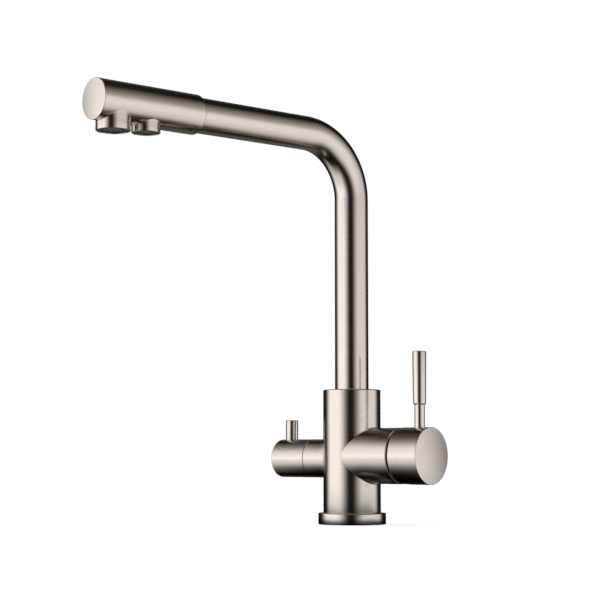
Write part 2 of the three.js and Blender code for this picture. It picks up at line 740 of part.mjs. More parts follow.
/** Fork on the moving disc, shaft with a ring groove and a clip groove, and a splined end. */
function filterSpindle() {
  const { radius, splineRadius, splineDepth, teeth } = filterShaft;
  const shaft = join(
    bar(headwork.cavity - FIT, forkFrom, shaftFrom),
    bar(radius, shaftFrom - THROUGH, splineFrom),
  );
  const half = shaftRing.thickness / 2 + RING_FIT;
  const ringAt = knobStart - shaftRing.setBack;
  const ringFloor = radius + FIT - shaftRing.thickness - 2 * RING_FIT;
  const outline = [];
  for (let tooth = 0; tooth < teeth; tooth += 1) {
    const step = 360 / teeth;
    outline.push(polar(splineRadius, tooth * step));
    outline.push(polar(splineRadius - splineDepth, (tooth + 0.5) * step));
  }
  const spline = prism(outline, splineFrom - THROUGH, splineEnd);
  const clipGroove = ring(radius - clip.groove, radius + THROUGH, clipFrom - FIT / 2, splineFrom - FIT / 2);
  const slotWidth = headwork.cavity / 2;
  return cut(
    join(shaft, spline),
    ring(ringFloor, radius + THROUGH, ringAt - half, ringAt + half),
    clipGroove,
    block(slotWidth, 2 * headwork.cavity, forkFrom - THROUGH, forkFrom + fork.thickness / 2),
  );
}

/** Open spring clip in the spindle's groove. */
function spindleClip() {
  const inner = filterShaft.radius - clip.groove + FIT;
  const to = clipFrom + clip.thickness;
  const opening = block(clip.radius, inner, clipFrom - THROUGH, to + THROUGH, -clip.radius);
  return cut(ring(inner, clip.radius, clipFrom, to), opening);
}

function filterKnob() {
  const { radius, cavity, edge } = knob;
  const shell = turned([
    [knobCavity, knobStart],
    ...corner(radius - edge / 3, knobStart + edge / 3, edge / 3, -90, 0, 1),
    ...corner(radius - edge, knobEnd - edge, edge, 0, 90, 4),
    [0, knobEnd],
    [0, knobStart + cavity],
    [knobCavity, knobStart + cavity],
    [knobCavity, knobStart],
  ]);
  return cut(
    shell,
    bar(filterShaft.splineRadius + FIT, knobStart, splineEnd + FIT),
    upward(bar(knobPin.radius + FIT, knobPinSeat - FIT, radius + THROUGH), knobPinAt),
    upward(bar(knobPin.stud + FIT, knobPinFoot - FIT, radius), knobPinAt),
    downward(bar(knobScrew.radius + FIT, 0, radius + THROUGH), knobScrewAt),
  );
}

function filterPin() {
  const { radius, edge } = knobPin;
  const top = knob.radius + knobPin.shown;
  const shape = turned([
    [0, knobPinFoot],
    [knobPin.stud, knobPinFoot],
    [knobPin.stud, knobPinSeat],
    [radius, knobPinSeat],
    ...corner(radius - edge, top - edge, edge, 0, 90),
    [0, top],
  ]);
  return upward(shape, knobPinAt);
}

// ---------------------------------------------------------------- spout

/** Riser, bend and arm as one path: straight up, a quarter round, straight to the front. */
class SpoutPath extends THREE.Curve {
  constructor(from, reach, bendSteps) {
    super();
    this.from = from;
    this.reach = reach;
    this.steps = bendSteps + 2;
  }

  getPoint(t) {
    const station = t * this.steps;
    const bendFoot = armHeight - tube.bend;
    if (station <= 1) return new THREE.Vector3(0, 0, THREE.MathUtils.lerp(this.from, bendFoot, station));
    if (station >= this.steps - 1) {
      const share = station - (this.steps - 1);
      return new THREE.Vector3(0, -THREE.MathUtils.lerp(tube.bend, this.reach, share), armHeight);
    }
    const angle = ((station - 1) / (this.steps - 2)) * (Math.PI / 2);
    const back = tube.bend * (1 - Math.cos(angle));
    return new THREE.Vector3(0, -back, bendFoot + tube.bend * Math.sin(angle));
  }

  /** Steps are spread by station, not by length, so that the straight runs take one step each. */
  getUtoTmapping(u) {
    return u;
  }
}

/** A pipe along the spout's path, from a height on the riser to a reach along the arm. */
function pipe({ radius, wall, bendSteps }, from, reach) {
  const path = new SpoutPath(from, reach, bendSteps);
  const section = new THREE.Shape().absarc(0, 0, radius, 0, 2 * Math.PI);
  section.holes.push(new THREE.Path().absarc(0, 0, radius - wall, 0, 2 * Math.PI, true));
  const options = { steps: path.steps, curveSegments: facets(radius) / 2, extrudePath: path };
  return new THREE.ExtrudeGeometry(section, options);
}

/** Swivel bush in the foot of the spout, with grooves for its glide rings, seals and screw. */
function spoutSpigot() {
  const radius = tube.radius;
  const glideFloor = swivelBore - glideRing.thickness - 2 * RING_FIT;
  const ringFloor = swivelBore - swivelRing.thickness - 2 * RING_FIT;
  const stopFloor = radius - stopGroove.depth;
  const groove = (floor, from, height) => [
    [radius, from],
    [floor, from],
    [floor, from + height],
    [radius, from + height],
  ];
  return turned([
    [spigotBore, spigotFrom],
    [radius, spigotFrom],
    ...groove(glideFloor, lowerGlideFrom, glideGroove),
    ...groove(stopFloor, stopGrooveFrom, stopGroove.height),
    ...groove(ringFloor, lowerRingFrom, ringGroove),
    ...groove(ringFloor, upperRingFrom, ringGroove),
    ...groove(glideFloor, upperGlideFrom, glideGroove),
    [radius, spigotShoulder],
    [tubeBore - FIT, spigotShoulder],
    [tubeBore - FIT, tubeFoot + swivel.lap],
    [spigotBore, tubeFoot + swivel.lap],
    [spigotBore, spigotFrom],
  ]);
}

/** Split plastic ring that the spigot turns on. */
function glideRingShape(grooveFrom) {
  const from = grooveFrom + RING_FIT;
  const to = from + glideRing.height;
  const outer = swivelBore - RING_FIT;
  const whole = ring(outer - glideRing.thickness, outer, from, to);
  return cut(whole, block(glideRing.split, outer, from - THROUGH, to + THROUGH, 0, outer));
}

function swivelRingShape(grooveFrom) {
  const middle = swivelBore - RING_FIT - swivelRing.thickness / 2;
  return roundRing(middle, swivelRing.thickness, grooveFrom + ringGroove / 2);
}

function filteredTubeSeal() {
  const middle = (filteredTube.radius + glandBore) / 2;
  const thickness = glandBore - filteredTube.radius - 2 * RING_FIT;
  return roundRing(middle, thickness, swivelFloor - gland.depth / 2);
}

// ---------------------------------------------------------------- spout head

/** A short nozzle below the head, drawn along local Z before it is turned down. */
function nozzle({ radius, drop, at }) {
  const shape = turned([
    [0, 0],
    [radius, 0],
    [radius, drop - nozzleEdge],
    [radius - nozzleEdge, drop],
    [0, drop],
  ]);
  return downward(shape, at);
}

/** The room for the washer and the aerator in a nozzle. */
function nozzlePocket({ radius, drop, pocket, at }) {
  return downward(bar(radius - nozzleWall, pocket, drop + THROUGH), at);
}

function spoutHead() {
  const { chamfer, edge } = head;
  const outside = turned([
    [0, headStart],
    [tube.radius + 2 * FIT, headStart],
    [headRadius, headStart + chamfer],
    ...corner(headRadius - edge, arm.reach - edge, edge, 0, 90, 2),
    [0, arm.reach],
  ]);
  const inside = headRadius - head.wall;
  const elbowHole = elbow.leg + 2 * FIT;
  return cut(
    join(outside, nozzle(mainNozzle), nozzle(filterNozzle)),
    bar(tube.radius + FIT, headStart - THROUGH, tubeEnd + FIT),
    bar(inside, tubeEnd, arm.reach - head.endWall),
    downward(bar(mainOutlet.throat, 0, mainNozzle.drop), mainNozzle.at),
    downward(bar(elbowHole, 0, filterNozzle.drop), filterNozzle.at),
    nozzlePocket(mainNozzle),
    nozzlePocket(filterNozzle),
  );
}

/** Elbow inside the head: takes the filtered tube's end and leads it down to the narrow nozzle. */
function filterElbow() {
  const { socket, leg, bore: way, lap, rise } = elbow;
  const foot = filterNozzle.pocket - FIT;
  const half = elbow.ring / 2 + RING_FIT / 2;
  const whole = join(
    bar(socket, elbowFrom, filterNozzle.at),
    downward(bar(leg, -rise, foot), filterNozzle.at),
  );
  const floor = elbowRingMiddle - elbow.ring / 2 - RING_FIT;
  const groove = ring(floor, leg + THROUGH, elbowRingAt - half, elbowRingAt + half);
  return cut(
    whole,
    bar(filteredTube.radius + FIT, elbowFrom - THROUGH, elbowFrom + lap),
    bar(way, elbowFrom, filterNozzle.at),
    downward(bar(way, 0, filterNozzle.drop), filterNozzle.at),
    downward(groove, filterNozzle.at),
  );
}

function elbowSeal() {
  return downward(roundRing(elbowRingMiddle, elbow.ring, elbowRingAt), filterNozzle.at);
}

/** Flat washer, insert with jets and threaded ring of one outlet, from the pocket's roof down. */
function aeratorParts({ radius, drop, pocket, at }) {
  const outer = radius - nozzleWall - FIT;
  const ringFrom = pocket + FIT + washer.thickness + FIT;
  const ringTo = drop - aerator.recess;
  const inner = outer - aerator.wall;
  const lipFrom = ringTo - aerator.lipHeight;
  const shell = turned([
    [inner, ringFrom],
    [outer, ringFrom],
    [outer, ringTo],
    [inner - aerator.lip, ringTo],
    [inner - aerator.lip, lipFrom],
    [inner, lipFrom],
    [inner, ringFrom],
  ]);
  const insertRadius = inner - FIT;
  const rows = jet.rows.filter((_, row) => row * jet.pitch + 2 * jet.radius < insertRadius);
  const jets = rows.flatMap((count, row) => Array.from({ length: count }, (_, n) => {
    const [x, y] = polar(row * jet.pitch, (360 * n) / count);
    return bar(jet.radius, ringFrom, drop).translate(x, y, 0);
  }));
  return {
    washer: downward(ring(outer - washer.width, outer, pocket + FIT, pocket + FIT + washer.thickness), at),
    shell: downward(shell, at),
    insert: downward(cut(bar(insertRadius, ringFrom + FIT, lipFrom - FIT), ...jets), at),
  };
}

// ---------------------------------------------------------------- the tap

const tap = new THREE.Group();
tap.name = 'three_way_filtered_water_tap';

tap.add(
  piece('body_column', nickel, bodyColumn()),
  piece('base_flange', nickel, baseFlange()),
  piece('base_seal', rubber, baseSealRing()),
  piece('spout_stop_screw', steel, spoutStopScrew()),
  piece('filtered_tube_seal', rubber, filteredTubeSeal()),
);

mixerFrame.add(
  piece('cartridge_seal', rubber, cartridgeSeal()),
  piece('cartridge_base', greyPlastic, cartridgeBase()),
  piece('cartridge_housing', greyPlastic, cartridgeHousing()),
  piece('fixed_disc', ceramic, fixedDiscShape()),
  piece('moving_disc', ceramic, movingDiscShape()),
  piece('disc_carrier', acetal, discCarrier()),
  piece('cartridge_rotor', acetal, cartridgeRotor()),
  piece('pivot_pin', steel, pivotBar(pivot.pin, pivot.pinLength / 2)),
  piece('lever_spindle', brass, leverSpindle()),
  piece('cartridge_nut', brass, cartridgeNut()),
  piece('trim_ring', nickel, trimRingShape()),
  piece('mixer_handle', nickel, mixerHandle()),
  piece('mixer_lever', nickel, mixerLever()),
  piece('mixer_handle_screw', steel, grubScrew(handleScrew, spindle.square / 2 + FIT, handleScrewAt)),
);

filterFrame.add(
  piece('headwork_body', brass, headworkBody()),
  piece('headwork_seal', rubber, headworkSealShape()),
  piece('headwork_ring_seal', rubber, roundRing(
    headworkBore - RING_FIT - headworkRing.thickness / 2,
    headworkRing.thickness,
    knobStart - headworkRing.setBack,
  )),
  piece('filter_fixed_disc', ceramic, quarterDisc(filterDiscFrom)),
  piece('filter_moving_disc', ceramic, quarterDisc(filterMovingFrom)),
  piece('filter_spindle', brass, filterSpindle()),
  piece('spindle_ring_seal', rubber, roundRing(
    filterShaft.radius + FIT - RING_FIT - shaftRing.thickness / 2,
    shaftRing.thickness,
    knobStart - shaftRing.setBack,
  )),
  piece('spindle_clip', steel, spindleClip()),
  piece('filter_knob', nickel, filterKnob()),
  piece('filter_pin', nickel, filterPin()),
  piece('filter_knob_screw', steel, grubScrew(knobScrew, filterShaft.splineRadius + FIT, knobScrewAt)),
);

const mainAerator = aeratorParts(mainNozzle);
const filterAerator = aeratorParts(filterNozzle);
headFrame.add(
  piece('spout_head', nickel, spoutHead()),
  piece('filter_elbow', brass, filterElbow()),
  piece('elbow_seal', rubber, elbowSeal()),
  piece('main_aerator_washer', rubber, mainAerator.washer),
  piece('main_aerator_insert', greyPlastic, mainAerator.insert),
  piece('main_aerator_ring', blackPlastic, mainAerator.shell),
  piece('filter_aerator_washer', rubber, filterAerator.washer),
  piece('filter_aerator_insert', greyPlastic, filterAerator.insert),
  piece('filter_aerator_ring', blackPlastic, filterAerator.shell),
);

const spout = new THREE.Group();
spout.rotation.z = THREE.MathUtils.degToRad(spoutTurn);
spout.add(
  piece('spout_tube', nickel, pipe(tube, tubeFoot, tubeEnd)),
  piece('spout_spigot', brass, spoutSpigot()),
  piece('glide_ring_lower', acetal, glideRingShape(lowerGlideFrom)),
  piece('glide_ring_upper', acetal, glideRingShape(upperGlideFrom)),
  piece('spout_ring_seal_lower', rubber, swivelRingShape(lowerRingFrom)),
  piece('spout_ring_seal_upper', rubber, swivelRingShape(upperRingFrom)),
  piece('filtered_tube', acetal, pipe(filteredTube, filteredFloor + FIT, filteredEnd)),
  headFrame,
);

tap.add(mixerFrame, filterFrame, spout);

export default tap;
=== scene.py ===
"""Looks of a three way filtered water tap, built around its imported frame.

Metres, +Z up. +X points to the mixer handle, -X to the filter knob and -Y to the person at the sink.
Each piece stays at the origin, with its place in its mesh.
"""

import json

import bmesh
import bpy
import numpy as np
from bpy.props import FloatProperty, FloatVectorProperty, IntProperty, PointerProperty
from bpy.types import Operator, Panel, PropertyGroup
from mathutils.geometry import tessellate_polygon
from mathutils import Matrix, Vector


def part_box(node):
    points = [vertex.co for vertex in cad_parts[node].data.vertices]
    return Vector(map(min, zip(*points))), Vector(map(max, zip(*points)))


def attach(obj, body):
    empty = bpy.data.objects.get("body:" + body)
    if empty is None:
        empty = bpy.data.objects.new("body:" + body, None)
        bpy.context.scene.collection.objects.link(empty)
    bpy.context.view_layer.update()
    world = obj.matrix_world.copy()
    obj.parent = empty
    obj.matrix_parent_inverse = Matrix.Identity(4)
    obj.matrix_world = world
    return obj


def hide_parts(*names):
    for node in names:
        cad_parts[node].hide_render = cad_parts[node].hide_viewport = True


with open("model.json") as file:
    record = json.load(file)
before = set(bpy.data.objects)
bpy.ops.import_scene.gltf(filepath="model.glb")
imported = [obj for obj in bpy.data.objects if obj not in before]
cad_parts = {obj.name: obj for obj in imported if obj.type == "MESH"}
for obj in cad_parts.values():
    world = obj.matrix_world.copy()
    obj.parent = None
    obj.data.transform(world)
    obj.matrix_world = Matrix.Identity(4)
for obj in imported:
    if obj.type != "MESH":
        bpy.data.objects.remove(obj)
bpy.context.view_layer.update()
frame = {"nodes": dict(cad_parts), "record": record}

bl_info = {
    "name": "Three Way Filtered Water Tap",
    "version": (1, 0, 0),
    "blender": (4, 5, 0),
    "location": "3D View > Sidebar > Tap",
    "description": "Builds the visible pieces, the finishes and the studio of a kitchen tap",
    "category": "Object",
}

# ---------------------------------------------------------------- sizes read from the frame

MM = 0.001
FIT = 0.3 * MM  # gap between pieces that touch
WELD = 1e-7  # points nearer than this are one point
ROUND = 192  # faces around a large round
SMALL_ROUND = 64  # faces around a small or a hidden one
UPRIGHT = 64  # faces along the side of a junction
SKIN_ROWS = 18  # rows of points from that side to the branch
ARC_POINTS = 6  # points along a small rounding or fillet
BEND_POINTS = 49  # points along the tube's bend and over the dome
STRAIGHT = 8  # faces along a straight of the tube
TURN = 2 * np.pi
QUARTER = TURN / 4
SHARP = np.radians(28)  # a crease between faces that lean more than this shows as an edge


class Box:
    """Lowest corner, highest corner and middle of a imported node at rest."""

    def __init__(self, node):
        self.low, self.high = (np.array(corner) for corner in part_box(node))
        self.middle = (self.low + self.high) / 2


BODY = Box("body_column")
FLANGE = Box("base_flange")
STOP_SCREW = Box("spout_stop_screw")
TRIM = Box("trim_ring")
HANDLE = Box("mixer_handle")
HANDLE_SCREW = Box("mixer_handle_screw")
LEVER = Box("mixer_lever")
SPINDLE = Box("lever_spindle")
KNOB = Box("filter_knob")
KNOB_SCREW = Box("filter_knob_screw")
PIN = Box("filter_pin")
FILTER_SPINDLE = Box("filter_spindle")
SPIGOT = Box("spout_spigot")
TUBE = Box("spout_tube")
HIDDEN_TUBE = Box("filtered_tube")

MIXER_HEIGHT = HANDLE.middle[2]
FILTER_HEIGHT = KNOB.middle[2]
HANDLE_RADIUS = HANDLE.high[1]
KNOB_RADIUS = KNOB.high[1]
TUBE_RADIUS = SPIGOT.high[0]
ARM_HEIGHT = TUBE.high[2] - TUBE_RADIUS
SWIVEL_BORE = TUBE_RADIUS + FIT
SPOUT_TURN = np.radians(-10.5)  # how far the spout is swung at rest, seen from above
FORWARD = np.array([np.sin(SPOUT_TURN), -np.cos(SPOUT_TURN), 0.0])
SIDEWAYS = np.cross((0, 0, 1), FORWARD)


# ---------------------------------------------------------------- settings


def size(name, description, millimetres):
    """A length that a user may change."""
    value = millimetres * MM
    return FloatProperty(name=name, description=description, default=value, min=0, unit="LENGTH")


def angle(name, description, degrees):
    """An angle that a user may change."""
    value = np.radians(degrees)
    return FloatProperty(name=name, description=description, default=value, unit="ROTATION")


def share(name, description, value):
    """A number from 0 to 1 that a user may change."""
    return FloatProperty(name=name, description=description, default=value, min=0, max=1, subtype="FACTOR")


def colour(name, description, value):
    """A colour that a user may change."""
    return FloatVectorProperty(
        name=name, description=description, default=value, size=3, min=0, max=1, subtype="COLOR"
    )


class FinishSettings(PropertyGroup):
    nickel: colour("Nickel", "Colour of the brushed nickel", (0.715, 0.66, 0.615))
    nickel_line: colour("Nickel lines", "Colour down in its brushed lines", (0.65, 0.595, 0.55))
    sheen: share("Nickel roughness", "Roughness of the brushed nickel", 0.19)
    brass: colour("Brass", "Colour of the turned brass", (0.74, 0.58, 0.33))
    steel: colour("Steel", "Colour of the screws and clips", (0.56, 0.56, 0.57))
    rubber: colour("Rubber", "Colour of the seals", (0.025, 0.025, 0.027))
    ceramic: colour("Ceramic", "Colour of the valve discs", (0.87, 0.85, 0.80))
    acetal: colour("Acetal", "Colour of the white plastic", (0.80, 0.78, 0.73))
    grey_plastic: colour("Grey plastic", "Colour of the moulded inserts", (0.115, 0.112, 0.108))
    black_plastic: colour("Black plastic", "Colour of the rings in the outlets", (0.03, 0.03, 0.031))


class BodySettings(PropertyGroup):
    edge: size("Top edge", "Rounding of the body's top edge", 0.9)
    crease: size("Crease", "Fillet where the side branches leave the body", 0.7)
    stub_step: size("Stub step", "How much slimmer the mixer stub is than the handle", 0.2)
    stub_edge: size("Stub edge", "Rounding of the stub's end", 0.9)
    foot: size("Foot radius", "Radius of the foot inside the flange", 21.7)
    cartridge_bore: size("Cartridge bore", "Radius of the mixer cartridge's seat", 17.6)
    headwork_bore: size("Headwork bore", "Radius of the filter headwork's seat", 10.3)
    seat: size("Seats", "Distance of both seats from the body's middle line", 15.0)
    inlet_circle: size("Inlet circle", "Distance of the hose inlets from the middle line", 11.2)
    inlet_angle: angle("Inlet angle", "Bearing of the hot inlet from the mixer side", 48)
    inlet_radius: size("Inlet radius", "Radius of the hose inlets", 4.9)
    inlet_depth: size("Inlet depth", "Depth of the hose inlets", 14.0)
    stud_circle: size("Stud circle", "Distance of the fixing holes from the middle line", 12.3)
    stud_angle: angle("Stud angle", "Bearing of the fixing holes from the mixer side", 112)
    stud_radius: size("Stud radius", "Radius of the fixing holes", 3.4)
    stud_depth: size("Stud depth", "Depth of the fixing holes", 16.0)
    pitch: size("Thread pitch", "Distance from ridge to ridge in the threaded holes", 1.0)
    thread: size("Thread depth", "Height of the ridges in the threaded holes", 0.45)
    flange_bore: size("Flange bore", "Radius of the flange's hole", 22.0)
    flange_edge: size("Flange edge", "Rounding of the flange's top edge", 0.9)
    seal_middle: size("Seal groove", "Radius of the groove for the base seal", 25.1)
    seal_width: size("Seal groove width", "Width of that groove", 2.7)
    seal_depth: size("Seal groove depth", "Depth of that groove", 2.05)


class HandleSettings(PropertyGroup):
    rim: size("Rim edge", "Rounding of the rim that faces the body", 0.8)
    face_edge: size("Face edge", "Rounding around the flat face", 0.4)
    skirt: size("Skirt", "Wall at the rim", 1.5)
    cavity: size("Cavity", "Depth of the hollow behind the rim", 8.5)
    boss: size("Boss radius", "Radius of the boss that holds the spindle", 8.5)
    boss_back: size("Boss set-back", "Distance of the boss from the rim", 4.5)
    relief: size("Relief", "Depth of the flat under the rim", 0.5)
    relief_flat: size("Relief flat", "Length of that flat's level part", 5.0)
    relief_slope: size("Relief slope", "Length of its sloping part", 5.0)
    stem: size("Stem radius", "Radius of the lever's stem", 4.25)
    socket: size("Lever socket", "Depth of the lever in the handle", 12.7)
    stem_shown: size("Stem shown", "Length of the stem above the handle", 19.2)
    shoulder: size("Shoulder", "Height of the slope from the stem to the grip", 1.1)
    grip_foot: size("Grip foot", "Radius at the grip's foot", 5.35)
    grip_round: size("Grip round", "Rounding at the grip's foot", 1.4)
    grip_edge: size("Grip edge", "Rounding of the grip's top", 0.6)


class KnobSettings(PropertyGroup):
    rim: size("Rim edge", "Rounding of the rim that faces the body", 0.43)
    edge: size("End edge", "Rounding around the end", 1.3)
    cavity_radius: size("Cavity radius", "Radius of the hollow behind the rim", 14.05)
    cavity: size("Cavity", "Depth of the hollow behind the rim", 7.9)
    spline: size("Spline bore", "Radius of the hole for the spindle", 4.7)
    pin_sunk: size("Pin seat", "How deep the pin's foot sits", 0.9)
    pin_stud: size("Pin stud", "Radius of the pin's stud", 3.0)
    pin_edge: size("Pin edge", "Rounding of the pin's top", 0.7)


class SpoutSettings(PropertyGroup):
    wall: size("Tube wall", "Wall of the spout's tube", 1.4)
    bend: size("Bend", "Radius of the bend at its middle line", 52.0)
    head_radius: size("Head radius", "Radius of the head", 15.95)
    head_start: size("Head start", "Reach of the head's back edge", 164.3)
    head_end: size("Head end", "Reach of the head's flat end", 259.3)
    tube_end: size("Tube end", "Reach of the tube inside the head", 171.7)
    chamfer: size("Back chamfer", "Length of the head's chamfered back edge", 1.8)
    edge: size("End edge", "Rounding around the head's end", 0.5)
    chamber: size("Chamber radius", "Radius of the head's hollow", 13.2)
    end_wall: size("End wall", "Wall at the head's flat end", 5.3)
    crease: size("Crease", "Fillet where the nozzles leave the head", 0.45)
    nozzle_wall: size("Nozzle wall", "Wall around each outlet", 1.7)
    nozzle_edge: size("Nozzle edge", "Rounding around each outlet's rim", 0.4)
    main_at: size("Main outlet", "Reach of the mixed water outlet", 241.6)
    main_radius: size("Main radius", "Radius of the mixed water outlet", 13.3)
    main_drop: size("Main drop", "Its rim below the arm's middle line", 22.5)
    main_roof: size("Main roof", "Its pocket's roof below the arm's middle line", 14.5)
    main_throat: size("Main throat", "Radius of the way into its pocket", 9.0)
    filter_at: size("Filter outlet", "Reach of the filtered water outlet", 211.6)
    filter_radius: size("Filter radius", "Radius of the filtered water outlet", 11.2)
    filter_drop: size("Filter drop", "Its rim below the arm's middle line", 20.5)
    filter_roof: size("Filter roof", "Its pocket's roof below the arm's middle line", 15.4)
    filter_throat: size("Filter throat", "Radius of the elbow's way into its pocket", 6.6)


class OutletSettings(PropertyGroup):
    ring_wall: size("Ring wall", "Wall of the rings in the nozzles", 1.5)
    lip: size("Lip", "How far the rings' lips reach in", 1.0)
    lip_height: size("Lip height", "Height of the lips", 0.6)
    recess: size("Recess", "How far the rings sit back from the nozzles' rims", 0.2)
    washer: size("Washer", "Room for the flat washer over each ring", 1.7)
    teeth: IntProperty(name="Key teeth", description="Notches around each lip", default=20, min=3)
    tooth: size("Tooth depth", "Depth of those notches", 0.45)
    cell: size("Cell", "Width of a cell of the honeycomb", 1.55)
    cell_wall: size("Cell wall", "Wall between two cells", 0.28)
    cell_depth: size("Cell depth", "Depth of the cells", 1.6)


class StageSettings(PropertyGroup):
    floor: colour("Floor", "Colour of the floor", (0.9, 0.9, 0.895))
    floor_light: share("Floor light", "Light that the floor gives by itself", 0.8)
    light: FloatProperty(name="Light", description="Strength of the soft boxes", default=1.38, min=0)
    right: share("Right box", "Strength of the right soft box beside the left one", 0.76)
    back: share("Back box", "Strength of the one behind the tap", 0.08)
    top: share("Top box", "Strength of the one above", 0.6)
    # painted shadow of the ground, seen only in reflections: how far its dark middle reaches to the front
    table: size("Dark table", "Reach of the mirrored table's dark middle to the front", 140)
    fill: share("Fill", "Light from everywhere", 0.006)
    lens: FloatProperty(name="Lens", description="Focal length in millimetres", default=98.42, min=1)
    rise: angle("Camera rise", "How far the camera looks up", 5.33)
    heading: angle("Camera heading", "Heading of the camera, from +Y towards -X", 39.35)
    camera: FloatVectorProperty(
        name="Camera",
        description="Place of the camera",
        default=(0.8399, -1.0929, 0.0589),
        size=3,
        subtype="TRANSLATION",
        unit="LENGTH",
    )


SETTINGS = {
    "tap_finish": FinishSettings,
    "tap_body": BodySettings,
    "tap_handle": HandleSettings,
    "tap_knob": KnobSettings,
    "tap_spout": SpoutSettings,
    "tap_outlet": OutletSettings,
    "tap_stage": StageSettings,
}


# ---------------------------------------------------------------- axes, outlines and turned rows


class Axis:
    """A line that pieces are turned about, with the way along it and the way that counts as up."""

    def __init__(self, origin, along, up):
        self.origin = np.array(origin, float)
        self.turn = np.stack([up, np.cross(along, up), along])

    def place(self, points):
        """Local (up, side, along) points as points of the model."""
        return points @ self.turn + self.origin


UP, DOWN = (0, 0, 1), (0, 0, -1)
RIGHT, LEFT = (1, 0, 0), (-1, 0, 0)
COLUMN = Axis((0, 0, 0), UP, RIGHT)
COLUMN_LEFT = Axis((0, 0, 0), UP, LEFT)
MIXER = Axis((0, 0, MIXER_HEIGHT), RIGHT, UP)
FILTER = Axis((0, 0, FILTER_HEIGHT), LEFT, UP)
ARM = Axis((0, 0, ARM_HEIGHT), FORWARD, DOWN)


def arc(start, end, shares):
    """Points between two radius vectors of one length: each weighed by the sine of the angle to the other."""
    length = np.linalg.norm(start, axis=-1, keepdims=True)
    sweep = np.arccos(np.clip(np.sum(start * end, axis=-1, keepdims=True) / length**2, -1, 1))
    shares = np.reshape(shares, (-1,) + (1,) * np.ndim(start))
    return (np.sin((1 - shares) * sweep) * start + np.sin(shares * sweep) * end) / np.sin(sweep)


def rounded(corners, points=ARC_POINTS):
    """Outline through (radius, distance, rounding) corners: a rounding is the arc that touches both sides."""
    corners = np.array(corners, float)
    outline = [corners[0, :2]]
    for before, here, after in zip(corners[:-2, :2], corners[1:-1], corners[2:, :2]):
        corner, reach = here[:2], here[2]
        if reach == 0:
            outline.append(corner)
            continue
        back = (before - corner) / np.linalg.norm(before - corner)
        ahead = (after - corner) / np.linalg.norm(after - corner)
        half = np.arccos(np.clip(back @ ahead, -1, 1)) / 2
        centre = corner + (back + ahead) / np.linalg.norm(back + ahead) * reach / np.sin(half)
        start = corner + back * reach / np.tan(half) - centre
        end = corner + ahead * reach / np.tan(half) - centre
        outline.extend(centre + arc(start, end, np.linspace(0, 1, points)))
    outline.append(corners[-1, :2])
    return outline


def ring(count):
    """Angles of that many points evenly around, starting a quarter turn before the way up."""
    return np.arange(count) * TURN / count - QUARTER


def turned(outline, angles):
    """Rows of an outline carried round: (r cos a, r sin a, distance). A radius may be one for each angle."""
    cosine, sine = np.cos(angles), np.sin(angles)
    rows = [np.broadcast_arrays(row[0] * cosine, row[0] * sine, row[1]) for row in outline]
    return np.stack([np.stack(row, axis=-1) for row in rows])


def sided(angles, sides, across):
    """Radii of a regular outline: half its width over the cosine of the angle from a side's middle."""
    step = TURN / sides
    return across / 2 / np.cos((angles + step / 2) % step - step / 2)


def thread(radius, depth, pitch, start, end, angles):
    """Rows down a threaded hole: a ridge stands where distance / pitch less angle / full turn is whole."""
    distances = np.arange(start, end, pitch / 4)
    return [(radius - depth * abs(2 * ((d / pitch - angles / TURN) % 1) - 1), d) for d in distances]


def brush_lines(local):
    """What a brushed finish follows: distance less radius, and the cosine and sine of the angle."""
    radius = np.hypot(local[..., 0], local[..., 1])
    safe = np.maximum(radius, WELD)
    return np.stack([local[..., 2] - radius, local[..., 0] / safe, local[..., 1] / safe], axis=-1)


# ---------------------------------------------------------------- surfaces


